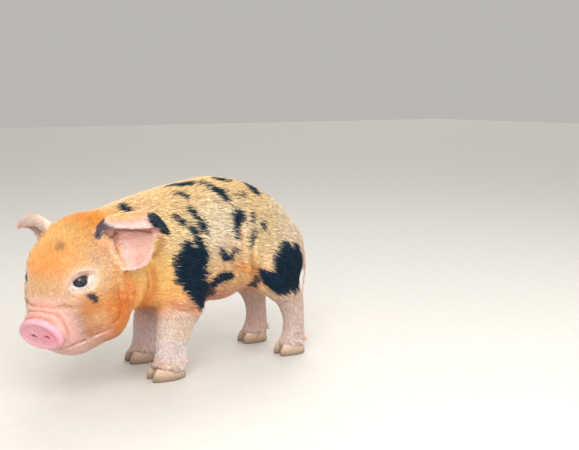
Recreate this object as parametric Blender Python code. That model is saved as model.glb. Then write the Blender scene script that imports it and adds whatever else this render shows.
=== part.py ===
"""A kunekune piglet two to three weeks old, life size, standing with its head low and turned to its left.

Metres, +Z up. The piglet faces -Y and its left side is +X. It stands on z = 0.
The flesh is modelled whole from named masses, fused and smoothed, and then parted with thin cuts.
"""

import math

import bmesh
import bpy
import numpy as np
from mathutils import Matrix, Vector
from mathutils.bvhtree import BVHTree

GAP = 0.0003  # what neighbouring pieces keep between them

# The trunk: name, y, middle height, half width, half height, from the neck to the root of the tail.
NECK_TURN = 0.013
TRUNK = (
    ("nape", -0.072, 0.118, 0.030, 0.041),
    ("neck", -0.050, 0.115, 0.035, 0.050),
    ("withers", -0.018, 0.116, 0.041, 0.055),
    ("ribs", 0.014, 0.119, 0.044, 0.058),
    ("belly", 0.048, 0.121, 0.046, 0.060),
    ("loin", 0.082, 0.124, 0.044, 0.051),
    ("croup", 0.108, 0.119, 0.040, 0.043),
    ("rump", 0.128, 0.111, 0.033, 0.035),
    ("dock", 0.142, 0.103, 0.020, 0.020),
)

# Further masses in the trunk: name, place and radii.
TRUNK_MASSES = (
    ("pelvis", (0, 0.106, 0.104), (0.040, 0.046, 0.044)),
    ("paunch", (0, 0.050, 0.100), (0.043, 0.045, 0.040)),
)

# The head has its own frame, with its origin at the middle of the snout disc.
DISC_AT = Vector((0.052, -0.137, 0.0650))
HEAD_YAW, HEAD_PITCH, HEAD_ROLL = math.radians(35), math.radians(27), math.radians(0)
# The head from the snout back to the nape: forward, top, bottom, half width, height of the widest line.
HEAD = (
    ("behind the disc", -0.003, 0.0140, -0.0150, 0.0185, 0.000),
    ("lips", -0.009, 0.0165, -0.0270, 0.0205, -0.003),
    ("chin", -0.016, 0.0225, -0.0375, 0.0232, -0.006),
    ("stop", -0.024, 0.0330, -0.0435, 0.0280, -0.006),
    ("eyes", -0.034, 0.0450, -0.0475, 0.0335, -0.003),
    ("forehead", -0.047, 0.0530, -0.0505, 0.0395, -0.003),
    ("cheeks", -0.064, 0.0570, -0.0525, 0.0415, -0.005),
    ("crown", -0.084, 0.0575, -0.0490, 0.0405, -0.004),
    ("ears", -0.104, 0.0520, -0.0440, 0.0365, -0.002),
    ("poll", -0.120, 0.0420, -0.0360, 0.0310, 0.000),
)
SQUARE = 0.86  # below 1 the head's sections fill their corners
# Further masses on the head: name, place and radii there. They are mirrored.
HEAD_MASSES = (
    ("brow", (-0.0400, 0.0180, 0.0260), (0.0120, 0.0100, 0.0110)),
    ("jowl", (-0.058, 0.0235, -0.0205), (0.0270, 0.0195, 0.0255)),
)

# Joints down a leg: outward from the middle, y, height, half width, half length.
FORELEG = (
    ("shoulder", 0.022, 0.000, 0.106, 0.021, 0.030),
    ("point of shoulder", 0.027, -0.003, 0.086, 0.020, 0.028),
    ("elbow", 0.030, 0.001, 0.068, 0.0180, 0.0235),
    ("forearm", 0.031, -0.004, 0.052, 0.0160, 0.0180),
    ("knee", 0.031, -0.008, 0.038, 0.0148, 0.0160),
    ("cannon", 0.031, -0.010, 0.026, 0.0130, 0.0142),
    ("fetlock", 0.031, -0.011, 0.016, 0.0138, 0.0152),
    ("coronet", 0.031, -0.014, 0.009, 0.0138, 0.0158),
)
HINDLEG = (
    ("hip", 0.020, 0.106, 0.110, 0.024, 0.036),
    ("thigh", 0.026, 0.105, 0.096, 0.022, 0.034),
    ("stifle", 0.029, 0.105, 0.080, 0.0180, 0.0265),
    ("gaskin", 0.029, 0.115, 0.067, 0.0150, 0.0200),
    ("hock", 0.029, 0.123, 0.056, 0.0125, 0.0150),
    ("cannon", 0.029, 0.127, 0.040, 0.0110, 0.0115),
    ("cannon end", 0.029, 0.128, 0.026, 0.0108, 0.0112),
    ("fetlock", 0.029, 0.127, 0.016, 0.0120, 0.0128),
    ("coronet", 0.029, 0.124, 0.009, 0.0124, 0.0140),
)

# How far the right legs stand behind the left ones.
FORE_SHIFT = {1: 0, -1: 0.004}
HIND_SHIFT = {1: 0, -1: -0.009}

# Where one mass runs into another: name, place and how far round it the surface is softened.
JOINS = (
    ("nape", (0.010, -0.055, 0.150), 0.060),
    ("throat", (0.010, -0.050, 0.070), 0.050),
    ("cheek", (0.035, -0.055, 0.110), 0.050),
    ("far cheek", (-0.020, -0.075, 0.110), 0.050),
    ("left shoulder", (0.035, 0.000, 0.095), 0.045),
    ("right shoulder", (-0.035, 0.000, 0.095), 0.045),
    ("left flank", (0.035, 0.085, 0.100), 0.045),
    ("right flank", (-0.035, 0.085, 0.100), 0.045),
    ("jowl", (0.032, -0.045, 0.075), 0.040),
    ("far jowl", (-0.030, -0.075, 0.075), 0.040),
    ("buttocks", (0, 0.130, 0.110), 0.060),
)
ROUND = [math.radians(9 * k) for k in range(40)]
VOXEL = 0.0018
SOFTNESS, JOIN_SOFTNESS, SMOOTHINGS = 0.10, 0.5, 70
HEAD_FACES, TRUNK_FACES = 3300, 3700
HEAD_REACH = -0.080  # how far back from the disc the finer faces go

# Eyes, in the head's frame. Each is set into the skin that a line from inside the head meets.
EYE_FROM = Vector((-0.0420, 0.0130, 0.0230))
EYE_LOOKS = Vector((0.38, 0.85, 0.36)).normalized()
EYE_SLIT_RUNS = Vector((0.97, 0, 0.05))
EYE_RADIUS, EYE_SET, EYE_SEGMENTS = 0.0068, 0.0066, 18
LID = 0.0008
EYE_OPENING = (0.0062, 0.0041, 0.020)  # half length, half height and depth of the slit between the lids
SLIT_STEPS = 7

MOUTH_HEIGHT, MOUTH_DEPTH = 0.0014, 0.0020
MOUTH_TURN = math.radians(112)  # how far the mouth runs round the muzzle, each way
MOUTH_CENTRE, MOUTH_LEVEL, MOUTH_DROP = -0.030, -0.0185, -0.0050
MOUTH_STEPS, MOUTH_LIP = 40, 0.002  # sections along it, and how far the cut starts outside the skin

# The snout disc, front to back: forward, share of its outline.
DISC_WIDE, DISC_TALL = 0.0205, 0.0150
DISC_RINGS = ((-0.0039, 0.92), (-0.0030, 0.965), (-0.0014, 1.0), (0.0002, 0.985), (0.0010, 0.93), (0.0009, 0.85),
              (0.0001, 0.74), (-0.0004, 0.50), (-0.0003, 0.22))
NOSTRIL_AT, NOSTRIL_RADII = (-0.0005, 0.0076, 0.0006), (0.0032, 0.0022, 0.0017)
DISC_POINTS, DISC_NARROWS, NOSTRIL_SEGMENTS = 28, 0.06, 12

# Ears, left and right. Each has its root in the head's frame, the way it runs and how far its top leans forward.
EAR_ROOTS = {1: Vector((-0.0817, 0.0367, 0.0326)), -1: Vector((-0.0817, -0.0345, 0.0310))}
EAR_RUNS = {1: Vector((-0.38, 0.92, 0.05)), -1: Vector((-0.45, -0.88, 0.05))}
EAR_LEANS = {1: math.radians(-18), -1: math.radians(-12)}
# From the root outwards: how far out, low edge, fold, flap and hollow. The ear rises from its
# low edge to the fold, and the flap hangs forward and down from there. The right ear is rolled
# tighter and droops.
EARS = {
    1: (
        (-0.0160, -0.0060, 0.0060, 0.0010, 0.0050),
        (-0.0080, -0.0120, 0.0190, 0.0030, 0.0065),
        (0.0020, -0.0215, 0.0242, 0.0060, 0.0080),
        (0.0130, -0.0238, 0.0245, 0.0085, 0.0085),
        (0.0220, -0.0205, 0.0240, 0.0100, 0.0075),
        (0.0290, -0.0120, 0.0236, 0.0115, 0.0050),
        (0.0340, -0.0010, 0.0226, 0.0110, 0.0030),
        (0.0385, 0.0030, 0.0205, 0.0095, 0.0015),
        (0.0430, 0.0025, 0.0155, 0.0065, 0.0005),
        (0.0460, 0.0005, 0.0085, 0.0030, 0.0000),
        (0.0475, -0.0012, 0.0020, 0.0008, 0.0000),
    ),
    -1: (
        (-0.0160, -0.0040, 0.0235, 0.0050, 0.0050),
        (-0.0060, -0.0100, 0.0240, 0.0058, 0.0060),
        (0.0040, -0.0135, 0.0232, 0.0062, 0.0065),
        (0.0120, -0.0090, 0.0215, 0.0068, 0.0060),
        (0.0190, -0.0010, 0.0185, 0.0068, 0.0050),
        (0.0260, 0.0020, 0.0150, 0.0065, 0.0035),
        (0.0340, 0.0010, 0.0105, 0.0050, 0.0020),
        (0.0420, -0.0015, 0.0052, 0.0035, 0.0010),
        (0.0490, -0.0045, 0.0000, 0.0020, 0.0005),
        (0.0535, -0.0075, -0.0045, 0.0008, 0.0000),
    ),
}
EAR_THICK, EAR_FOLD = 0.0021, 0.0030  # thickness, and half the way between ear and flap
EAR_RIM, EAR_TIP = 0.55, 0.7  # share of the thickness at the free edges and at the tip
EAR_COLUMNS, FOLD_COLUMNS, FLAP_COLUMNS = 7, 4, 2

# The tail: x, y, height, radius, from its root in the rump to its tip.
TAIL = (
    (0.0000, 0.1400, 0.1090, 0.0066),
    (0.0000, 0.1520, 0.1060, 0.0052),
    (0.0008, 0.1580, 0.0980, 0.0040),
    (0.0014, 0.1600, 0.0860, 0.0032),
    (0.0016, 0.1598, 0.0720, 0.0028),
    (0.0012, 0.1585, 0.0600, 0.0024),
    (0.0008, 0.1575, 0.0530, 0.0014),
)
TAIL_POINTS = 12

# Feet: where the flesh ends above the hooves, and the hooves under it as shares of the foot's size.
SOLE_PLANE, SOLE_SLOPE = 0.0095, -0.20
CLAW_WIDE, CLAW_LONG, CLAW_OUT, TOE_REACH = 0.44, 0.92, 0.48, 0.24
CLAW_POINTS, CLAW_NARROWS = 18, 0.30
CLAW_RINGS = ((0.0, 0.90, 1.0), (0.06, 0.98, 1.05), (0.50, 1.0, 0.70), (1.0, 0.94, 0.0))  # level, size, toe
DEWCLAW_POINTS_ROUND = 10
DEWCLAW_RINGS = ((-0.5, 0.9), (0.1, 1.0), (0.55, 0.85), (0.9, 0.5), (1.0, 0.2))  # share of its length, size
DEWCLAW_OUT, DEWCLAW_BACK, DEWCLAW_UP = 0.52, 0.86, 0.0085
DEWCLAW_LONG, DEWCLAW_RADIUS, DEWCLAW_POINTS = 0.0066, 0.0024, Vector((0.08, 0.50, -0.86))

# Cuts through the trunk: a point on each and the way it faces, towards the head.
HEAD_CUT = (Vector((0.010, -0.043, 0.130)), Vector((0.30, -0.95, 0)).normalized())
NECK_CUT = (Vector((0, -0.020, 0.110)), Vector((0.10, -0.99, 0)).normalized())
CHEST_CUT = (Vector((0, 0.032, 0.110)), Vector((0, -1, 0)))
LOIN_CUT = (Vector((0, 0.082, 0.110)), Vector((0, -1, 0)))
# Cuts that part a leg from the trunk: a point, how steep, and how far fore and aft it reaches.
FORELEG_CUT = (0.016, 0.0580, math.radians(45), -0.044, 0.040)
HINDLEG_CUT = (0.004, 0.0605, math.radians(31), 0.060, 0.160)
KNEE_CUT, HOCK_CUT = 0.041, 0.058
LEG_BOX_INNER, LEG_BOX_REACH = 0.052, 0.150
SHARP = math.radians(50)


def clear():
    for thing in list(bpy.data.objects):
        bpy.data.objects.remove(thing, do_unlink=True)


def frame_of(yaw, pitch, roll, origin):
    """A frame whose X points forward along the head, Y to the piglet's left and Z up."""
    forward = Vector((math.sin(yaw) * math.cos(pitch), -math.cos(yaw) * math.cos(pitch), -math.sin(pitch)))
    left = Vector((math.cos(yaw), math.sin(yaw), 0))
    up = forward.cross(left)
    turned = left * math.cos(roll) + up * math.sin(roll)
    axes = Matrix((forward, turned, forward.cross(turned))).transposed()
    return Matrix.Translation(origin) @ axes.to_4x4()


def unit_sphere(segments=28):
    bm = bmesh.new()
    bmesh.ops.create_uvsphere(bm, u_segments=segments, v_segments=segments * 2 // 3, radius=1)
    mesh = bpy.data.meshes.new("unit sphere")
    bm.to_mesh(mesh)
    bm.free()
    return mesh


def ellipsoid(bm, sphere, frame, centre, radii):
    """Adds the unit sphere, stretched to these radii in this frame."""
    mass = sphere.copy()
    mass.transform(frame @ Matrix.Translation(centre) @ Matrix.Diagonal((*radii, 1)))
    bm.from_mesh(mass)
    bpy.data.meshes.remove(mass)


def smooth_path(stations, steps):
    """Catmull-Rom between the stations' numbers, so that a limb has no corner at a joint."""
    rows = np.array(stations, float)
    rows = np.vstack((2 * rows[0] - rows[1], rows, 2 * rows[-1] - rows[-2]))
    path = []
    for a, b, c, d in zip(rows[:-3], rows[1:-2], rows[2:-1], rows[3:]):
        for t in np.arange(steps) / steps:
            path.append(
                0.5 * (2 * b + (c - a) * t + (2 * a - 5 * b + 4 * c - d) * t**2 + (3 * b - a - 3 * c + d) * t**3)
            )
    path.append(rows[-2])
    return np.array(path)


def tube(bm, rings):
    """Joins rings of points into a closed tube."""
    rings = [[bm.verts.new(point) for point in ring] for ring in rings]
    count = len(rings[0])
    for first, second in zip(rings, rings[1:]):
        for k in range(count):
            n = (k + 1) % count
            bm.faces.new((first[k], first[n], second[n], second[k]))
    bm.faces.new(rings[0][::-1])
    bm.faces.new(rings[-1])


def trunk(bm):
    """Upright ellipses along the spine."""
    rings = []
    for y, z, wide, tall in smooth_path([row[1:] for row in TRUNK], 5):
        turn = NECK_TURN * max(0, (-0.02 - y) / 0.05)
        rings.append([(turn + wide * math.cos(a), y, z + tall * math.sin(a)) for a in ROUND])
    tube(bm, rings)


def skull(bm, head):
    """Egg-shaped sections square to the head's axis."""
    rings = []
    for forward, top, bottom, wide, widest in smooth_path([row[1:] for row in HEAD], 4):
        ring = []
        for a in ROUND:
            reach = top - widest if math.sin(a) > 0 else widest - bottom
            out, up = (math.copysign(abs(part) ** SQUARE, part) for part in (math.cos(a), math.sin(a)))
            ring.append(head @ Vector((forward, wide * out, widest + reach * up)))
        rings.append(ring)
    tube(bm, rings)


def limb(bm, sphere, joints, side, shift=0.0):
    rows = [(side * out, y + shift, z, wide, long) for _, out, y, z, wide, long in joints]
    for x, y, z, wide, long in smooth_path(rows, 4):
        ellipsoid(bm, sphere, Matrix(), (x, y, z), (wide, long, min(wide, long) * 0.8))


def mesh_object(name, bm):
    mesh = bpy.data.meshes.new(name)
    bm.to_mesh(mesh)
    bm.free()
    made = bpy.data.objects.new(name, mesh)
    bpy.context.scene.collection.objects.link(made)
    return made


def material(name, colour, roughness):
    made = bpy.data.materials.new(name)
    made.use_nodes = True
    shader = made.node_tree.nodes["Principled BSDF"]
    shader.inputs["Base Color"].default_value = (*colour, 1)
    shader.inputs["Roughness"].default_value = roughness
    shader.inputs["Metallic"].default_value = 0
    made.diffuse_color = (*colour, 1)
    return made


def applied(thing):
    """The object with its modifiers made real."""
    graph = bpy.context.evaluated_depsgraph_get()
    mesh = bpy.data.meshes.new_from_object(thing.evaluated_get(graph))
    thing.modifiers.clear()
    thing.data = mesh
    return thing


def combined(thing, other, operation):
    """The object after a Boolean with the other, which is then removed."""
    cut = thing.modifiers.new(operation, "BOOLEAN")
    cut.operation = operation
    cut.object = other
    applied(thing)
    bpy.data.objects.remove(other, do_unlink=True)
    return thing


def copied(thing, name):
    made = bpy.data.objects.new(name, thing.data.copy())
    bpy.context.scene.collection.objects.link(made)
    return made


def cut_off(thing, point, facing, gap=GAP / 2):
    """Keeps the side that the plane faces, closed again where it was cut."""
    bm = bmesh.new()
    bm.from_mesh(thing.data)
    parts = bm.verts[:] + bm.edges[:] + bm.faces[:]
    bmesh.ops.bisect_plane(bm, geom=parts, plane_co=point + facing * gap, plane_no=-facing, clear_outer=True)
    rim = [edge for edge in bm.edges if edge.is_boundary]
    bmesh.ops.triangle_fill(bm, edges=rim, use_beauty=True)
    bmesh.ops.recalc_face_normals(bm, faces=bm.faces)
    bm.to_mesh(thing.data)
    bm.free()
    return thing


def largest(thing):
    """Keeps the largest closed surface and drops loose scraps."""
    bm = bmesh.new()
    bm.from_mesh(thing.data)
    left = set(bm.verts)
    groups = []
    while left:
        group, edge_of = set(), [left.pop()]
        while edge_of:
            vert = edge_of.pop()
            group.add(vert)
            for edge in vert.link_edges:
                other = edge.other_vert(vert)
                if other in left:
                    left.remove(other)
                    edge_of.append(other)
        groups.append(group)
    groups.sort(key=len)
    for group in groups[:-1]:
        bmesh.ops.delete(bm, geom=list(group), context="VERTS")
    bm.to_mesh(thing.data)
    bm.free()
    return thing


def swollen(thing, gap=GAP):
    """A copy of the object grown by the gap, to cut its neighbours with."""
    made = copied(thing, thing.name + " grown")
    grow = made.modifiers.new("grow", "DISPLACE")
    grow.strength = gap
    grow.mid_level = 0
    return applied(made)


def soften(mesh):
    """Moves each point towards the middle of its neighbours, most where one mass runs into another."""
    points = np.empty(len(mesh.vertices) * 3)
    mesh.vertices.foreach_get("co", points)
    points = points.reshape(-1, 3)
    edges = np.empty(len(mesh.edges) * 2, np.int32)
    mesh.edges.foreach_get("vertices", edges)
    edges = edges.reshape(-1, 2)
    count = np.bincount(edges.ravel(), minlength=len(points))[:, None]
    strength = np.full((len(points), 1), SOFTNESS)
    for _, centre, radius in JOINS:
        near = 1 - np.linalg.norm(points - centre, axis=1, keepdims=True) / radius
        strength = np.maximum(strength, np.clip(near * 2, 0, 1) * JOIN_SOFTNESS)
    for _ in range(SMOOTHINGS):
        total = np.zeros_like(points)
        for axis in range(3):
            total[:, axis] = np.bincount(edges[:, 0], points[edges[:, 1], axis], len(points))
            total[:, axis] += np.bincount(edges[:, 1], points[edges[:, 0], axis], len(points))
        points += strength * (total / count - points)
    mesh.vertices.foreach_set("co", points.ravel())
    mesh.update()


def flesh(head):
    """Head, trunk and legs in one piece, fine enough on the head and coarser on the trunk."""
    sphere = unit_sphere()
    bm = bmesh.new()
    trunk(bm)
    skull(bm, head)
    for _, centre, radii in HEAD_MASSES:
        for side in (1, -1):
            ellipsoid(bm, sphere, head, (centre[0], side * centre[1], centre[2]), radii)
    for _, centre, radii in TRUNK_MASSES:
        ellipsoid(bm, sphere, Matrix(), centre, radii)
    for side in (1, -1):
        limb(bm, sphere, FORELEG, side, FORE_SHIFT[side])
        limb(bm, sphere, HINDLEG, side, HIND_SHIFT[side])
    body = mesh_object("flesh", bm)
    remesh = body.modifiers.new("fuse", "REMESH")
    remesh.mode = "VOXEL"
    remesh.voxel_size = VOXEL
    applied(body)
    soften(body.data)
    to_head = head.inverted()
    finer = [(to_head @ vert.co).x > HEAD_REACH for vert in body.data.vertices]
    thin(body, finer, 2 * sum(finer) + TRUNK_FACES)
    finer = [not (to_head @ vert.co).x > HEAD_REACH for vert in body.data.vertices]
    return thin(body, finer, HEAD_FACES + TRUNK_FACES)


def thin(thing, kept, faces):
    """Fewer faces, down to a number in all, taken away where the points aren't kept."""
    group = thing.vertex_groups.new(name="thinned")
    group.add([k for k, keep in enumerate(kept) if not keep], 1.0, "REPLACE")
    thing.data.calc_loop_triangles()
    fewer = thing.modifiers.new("fewer", "DECIMATE")
    fewer.ratio = faces / len(thing.data.loop_triangles)
    fewer.vertex_group = group.name
    fewer.vertex_group_factor = 1000
    fewer.use_collapse_triangulate = True
    applied(thing)
    thing.vertex_groups.clear()
    return thing


def lens_prism(frame, long, tall, deep):
    """An almond outline drawn out along the frame's X, to open the slit between the lids."""
    outline = []
    for k in range(SLIT_STEPS):
        t = -1 + 2 * k / SLIT_STEPS
        outline.append((long * t, tall * (1 - t * t)))
    outline += [(-a, -b) for a, b in outline]
    bm = bmesh.new()
    near = [bm.verts.new(frame @ Vector((0, a, b))) for a, b in outline]
    far = [bm.verts.new(frame @ Vector((deep, a, b))) for a, b in outline]
    count = len(outline)
    for k in range(count):
        n = (k + 1) % count
        bm.faces.new((near[k], near[n], far[n], far[k]))
    bm.faces.new(near[::-1])
    bm.faces.new(far)
    bmesh.ops.recalc_face_normals(bm, faces=bm.faces)
    return mesh_object("slit", bm)


def ball(name, centre, radius):
    bm = bmesh.new()
    bmesh.ops.create_uvsphere(bm, u_segments=EYE_SEGMENTS, v_segments=EYE_SEGMENTS * 2 // 3, radius=radius)
    bmesh.ops.translate(bm, verts=bm.verts, vec=centre)
    return mesh_object(name, bm)


def eye_frame(skin, head, side):
    """X looks out of the eye and Y runs along the slit."""
    looks = Vector((EYE_LOOKS.x, side * EYE_LOOKS.y, EYE_LOOKS.z))
    along = (EYE_SLIT_RUNS - looks * EYE_SLIT_RUNS.dot(looks)).normalized()
    axes = Matrix((looks, along, looks.cross(along))).transposed().to_4x4()
    inside = Vector((EYE_FROM.x, side * EYE_FROM.y, EYE_FROM.z))
    surface = bvh_of(skin, head.inverted()).ray_cast(inside, looks)[0]
    return head @ Matrix.Translation(surface - looks * EYE_SET) @ axes


def mouth(surface, head):
    """A wedge that follows the muzzle's skin from one corner of the mouth to the other."""
    back = head.inverted()
    tree = bvh_of(surface, back)
    rings = []
    for k in range(MOUTH_STEPS + 1):
        share = -1 + 2 * k / MOUTH_STEPS
        turn = share * MOUTH_TURN
        out = Vector((math.cos(turn), math.sin(turn), 0))
        start = Vector((MOUTH_CENTRE, 0, MOUTH_LEVEL + MOUTH_DROP * share**2))
        hit = tree.ray_cast(start, out)[0]
        fade = min(1, 6 * (1 - abs(share)) + 0.25)
        edge = hit + out * MOUTH_LIP
        rise = Vector((0, 0, MOUTH_HEIGHT * fade))
        rings.append([head @ (edge + rise), head @ (hit - out * MOUTH_DEPTH * fade), head @ (edge - rise)])
    bm = bmesh.new()
    tube(bm, rings)
    bmesh.ops.recalc_face_normals(bm, faces=bm.faces)
    return mesh_object("mouth line", bm)


def bvh_of(thing, matrix):
    bm = bmesh.new()
    bm.from_mesh(thing.data)
    bmesh.ops.transform(bm, verts=bm.verts, matrix=matrix)
    tree = BVHTree.FromBMesh(bm)
    bm.free()
    return tree


def disc(head):
    """The snout's flat disc: a rim round a slightly hollow face, with two nostrils."""
    rings = []
    for forward, share in DISC_RINGS:
        ring = []
        for k in range(DISC_POINTS):
            a = math.tau * k / DISC_POINTS
            wide = DISC_WIDE * share * (1 - DISC_NARROWS * math.sin(a))
            ring.append(head @ Vector((forward, wide * math.cos(a), DISC_TALL * share * math.sin(a))))
        rings.append(ring)
    bm = bmesh.new()
    tube(bm, rings)
    bmesh.ops.recalc_face_normals(bm, faces=bm.faces)
    made = mesh_object("snout_disc", bm)
    for side in (1, -1):
        bm = bmesh.new()
        ellipsoid(bm, unit_sphere(NOSTRIL_SEGMENTS), head, (NOSTRIL_AT[0], side * NOSTRIL_AT[1], NOSTRIL_AT[2]), NOSTRIL_RADII)
        combined(made, mesh_object("nostril", bm), "DIFFERENCE")
    return made


def ear(name, head, side):
    """A leaf of skin cupped forward, with its upper edge folded over and its tip drooping."""
    along = EAR_RUNS[side].normalized()
    up = Vector((math.sin(EAR_LEANS[side]), 0, math.cos(EAR_LEANS[side])))
    up = (up - along * up.dot(along)).normalized()
    front = up.cross(along) * -side
    root = EAR_ROOTS[side]
    grid = []
    for out, low, fold, flap, hollow in smooth_path(EARS[side], 2):
        row = []
        for k in range(EAR_COLUMNS):
            share = k / EAR_COLUMNS
            row.append((-hollow * math.sin(math.pi * share), low + (fold - low) * share))
        radius = min(EAR_FOLD, (fold - low) / 4)
        for k in range(FOLD_COLUMNS + 1):
            turn = math.pi * k / FOLD_COLUMNS
            row.append((radius * (1 - math.cos(turn)), fold + radius * math.sin(turn)))
        for k in range(1, FLAP_COLUMNS + 1):
            row.append((2 * radius, fold - flap * k / FLAP_COLUMNS))
        grid.append([root + along * out + front * x + up * z for x, z in row])
    return shell(name, grid, EAR_THICK, head)


def shell(name, grid, thick, head):
    """A closed sheet on both sides of a grid of points, thinner towards its free edges."""
    rows, columns = len(grid), len(grid[0])
    normals = []
    for i in range(rows):
        line = []
        for j in range(columns):
            along = grid[min(i + 1, rows - 1)][j] - grid[max(i - 1, 0)][j]
            over = grid[i][min(j + 1, columns - 1)] - grid[i][max(j - 1, 0)]
            line.append(along.cross(over).normalized())
        normals.append(line)
    bm = bmesh.new()
    sides = []
    for sign in (1, -1):
        verts = []
        for i in range(rows):
            for j in range(columns):
                edge = min(1, EAR_RIM + min(j, columns - 1 - j) / columns) * (1 - (1 - EAR_TIP) * i / rows)
                verts.append(bm.verts.new(head @ (grid[i][j] + normals[i][j] * sign * edge * thick / 2)))
        sides.append(verts)
    for i in range(rows - 1):
        for j in range(columns - 1):
            a, b, c, d = (i * columns + j, i * columns + j + 1, (i + 1) * columns + j + 1, (i + 1) * columns + j)
            for verts in sides:
                bm.faces.new((verts[a], verts[b], verts[c]))
                bm.faces.new((verts[a], verts[c], verts[d]))
    rim = [(0, j) for j in range(columns)] + [(i, columns - 1) for i in range(1, rows)]
    rim += [(rows - 1, j) for j in range(columns - 2, -1, -1)] + [(i, 0) for i in range(rows - 2, 0, -1)]
    rim = [i * columns + j for i, j in rim]
    for a, b in zip(rim, rim[1:] + rim[:1]):
        bm.faces.new((sides[0][a], sides[0][b], sides[1][b], sides[1][a]))
    bmesh.ops.recalc_face_normals(bm, faces=bm.faces)
    return mesh_object(name, bm)


def tail():
    rings = []
    path = smooth_path(TAIL, 3)
    for k, (x, y, z, radius) in enumerate(path):
        before, after = path[max(k - 1, 0)][:3], path[min(k + 1, len(path) - 1)][:3]
        along = Vector(after - before).normalized()
        side = Vector((1, 0, 0))
        over = along.cross(side).normalized()
        centre = Vector((x, y, z))
        ring = []
        for n in range(TAIL_POINTS):
            a = math.tau * n / TAIL_POINTS
            ring.append(centre + (side * math.cos(a) + over * math.sin(a)) * radius)
        rings.append(ring)
    bm = bmesh.new()
    tube(bm, rings)
    bmesh.ops.recalc_face_normals(bm, faces=bm.faces)
    return mesh_object("tail", bm)


def sole_height(y):
    """The slanting plane where a foot's flesh ends, measured from the foot's middle."""
    return SOLE_PLANE + SOLE_SLOPE * y


def claw(name, coronet, place, side):
    """One toe's hoof: flat underneath, pointed in front, cut off above where the flesh begins."""
    _, _, _, _, half_wide, half_long = coronet
    rings = []
    for level, size, toe in CLAW_RINGS:
        ring = []
        for k in range(CLAW_POINTS):
            a = math.tau * k / CLAW_POINTS
            out, fore = math.cos(a), math.sin(a)
            narrowing = 1 - CLAW_NARROWS * max(0, fore) ** 2
            dx = side * CLAW_OUT * half_wide + CLAW_WIDE * half_wide * size * narrowing * out
            dy = -CLAW_LONG * half_long * size * fore - toe * TOE_REACH * half_long * max(0, fore)
            ring.append((place[0] + dx, place[1] + dy, (sole_height(dy) - GAP) * level))
        rings.append(ring)
    bm = bmesh.new()
    tube(bm, rings)
    bmesh.ops.recalc_face_normals(bm, faces=bm.faces)
    return mesh_object(name, bm)


def dewclaw(name, coronet, place, side):
    """A small horn spur behind the foot."""
    _, _, _, z, half_wide, half_long = coronet
    start = Vector((place[0] + side * DEWCLAW_OUT * half_wide, place[1] + DEWCLAW_BACK * half_long, z + DEWCLAW_UP))
    along = Vector((side * DEWCLAW_POINTS.x, DEWCLAW_POINTS.y, DEWCLAW_POINTS.z)).normalized()
    over = along.cross(Vector((1, 0, 0))).normalized()
    across = along.cross(over)
    rings = []
    for share, size in DEWCLAW_RINGS:
        centre = start + along * share * DEWCLAW_LONG
        ring = []
        for k in range(DEWCLAW_POINTS_ROUND):
            a = math.tau * k / DEWCLAW_POINTS_ROUND
            ring.append(centre + (over * math.cos(a) + across * math.sin(a)) * DEWCLAW_RADIUS * size)
        rings.append(ring)
    bm = bmesh.new()
    tube(bm, rings)
    bmesh.ops.recalc_face_normals(bm, faces=bm.faces)
    return mesh_object(name, bm)


def leg_box(cut, side, gap):
    """A slanting box round a leg. Its upper face parts the leg from the trunk."""
    out, height, slope, fore, aft = cut
    bm = bmesh.new()
    bmesh.ops.create_cube(bm, size=1)
    place = Matrix.Translation((side * out, 0, height))
    place = place @ Matrix.Rotation(-side * slope, 4, "Y")
    inner, far = LEG_BOX_INNER, LEG_BOX_REACH
    low = Vector((-inner if side > 0 else -far, fore - gap, -far))
    high = Vector((far if side > 0 else inner, aft + gap, gap))
    place = place @ Matrix.Translation((low + high) / 2) @ Matrix.Diagonal((*(high - low), 1))
    bmesh.ops.transform(bm, verts=bm.verts, matrix=place)
    return mesh_object("leg box", bm)


def dressed(thing, name, finish):
    thing.name = name
    thing.data.name = name
    thing.data.materials.clear()
    thing.data.materials.append(finish)
    thing.data.shade_smooth()
    thing.data.set_sharp_from_angle(angle=SHARP)
    return thing


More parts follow.
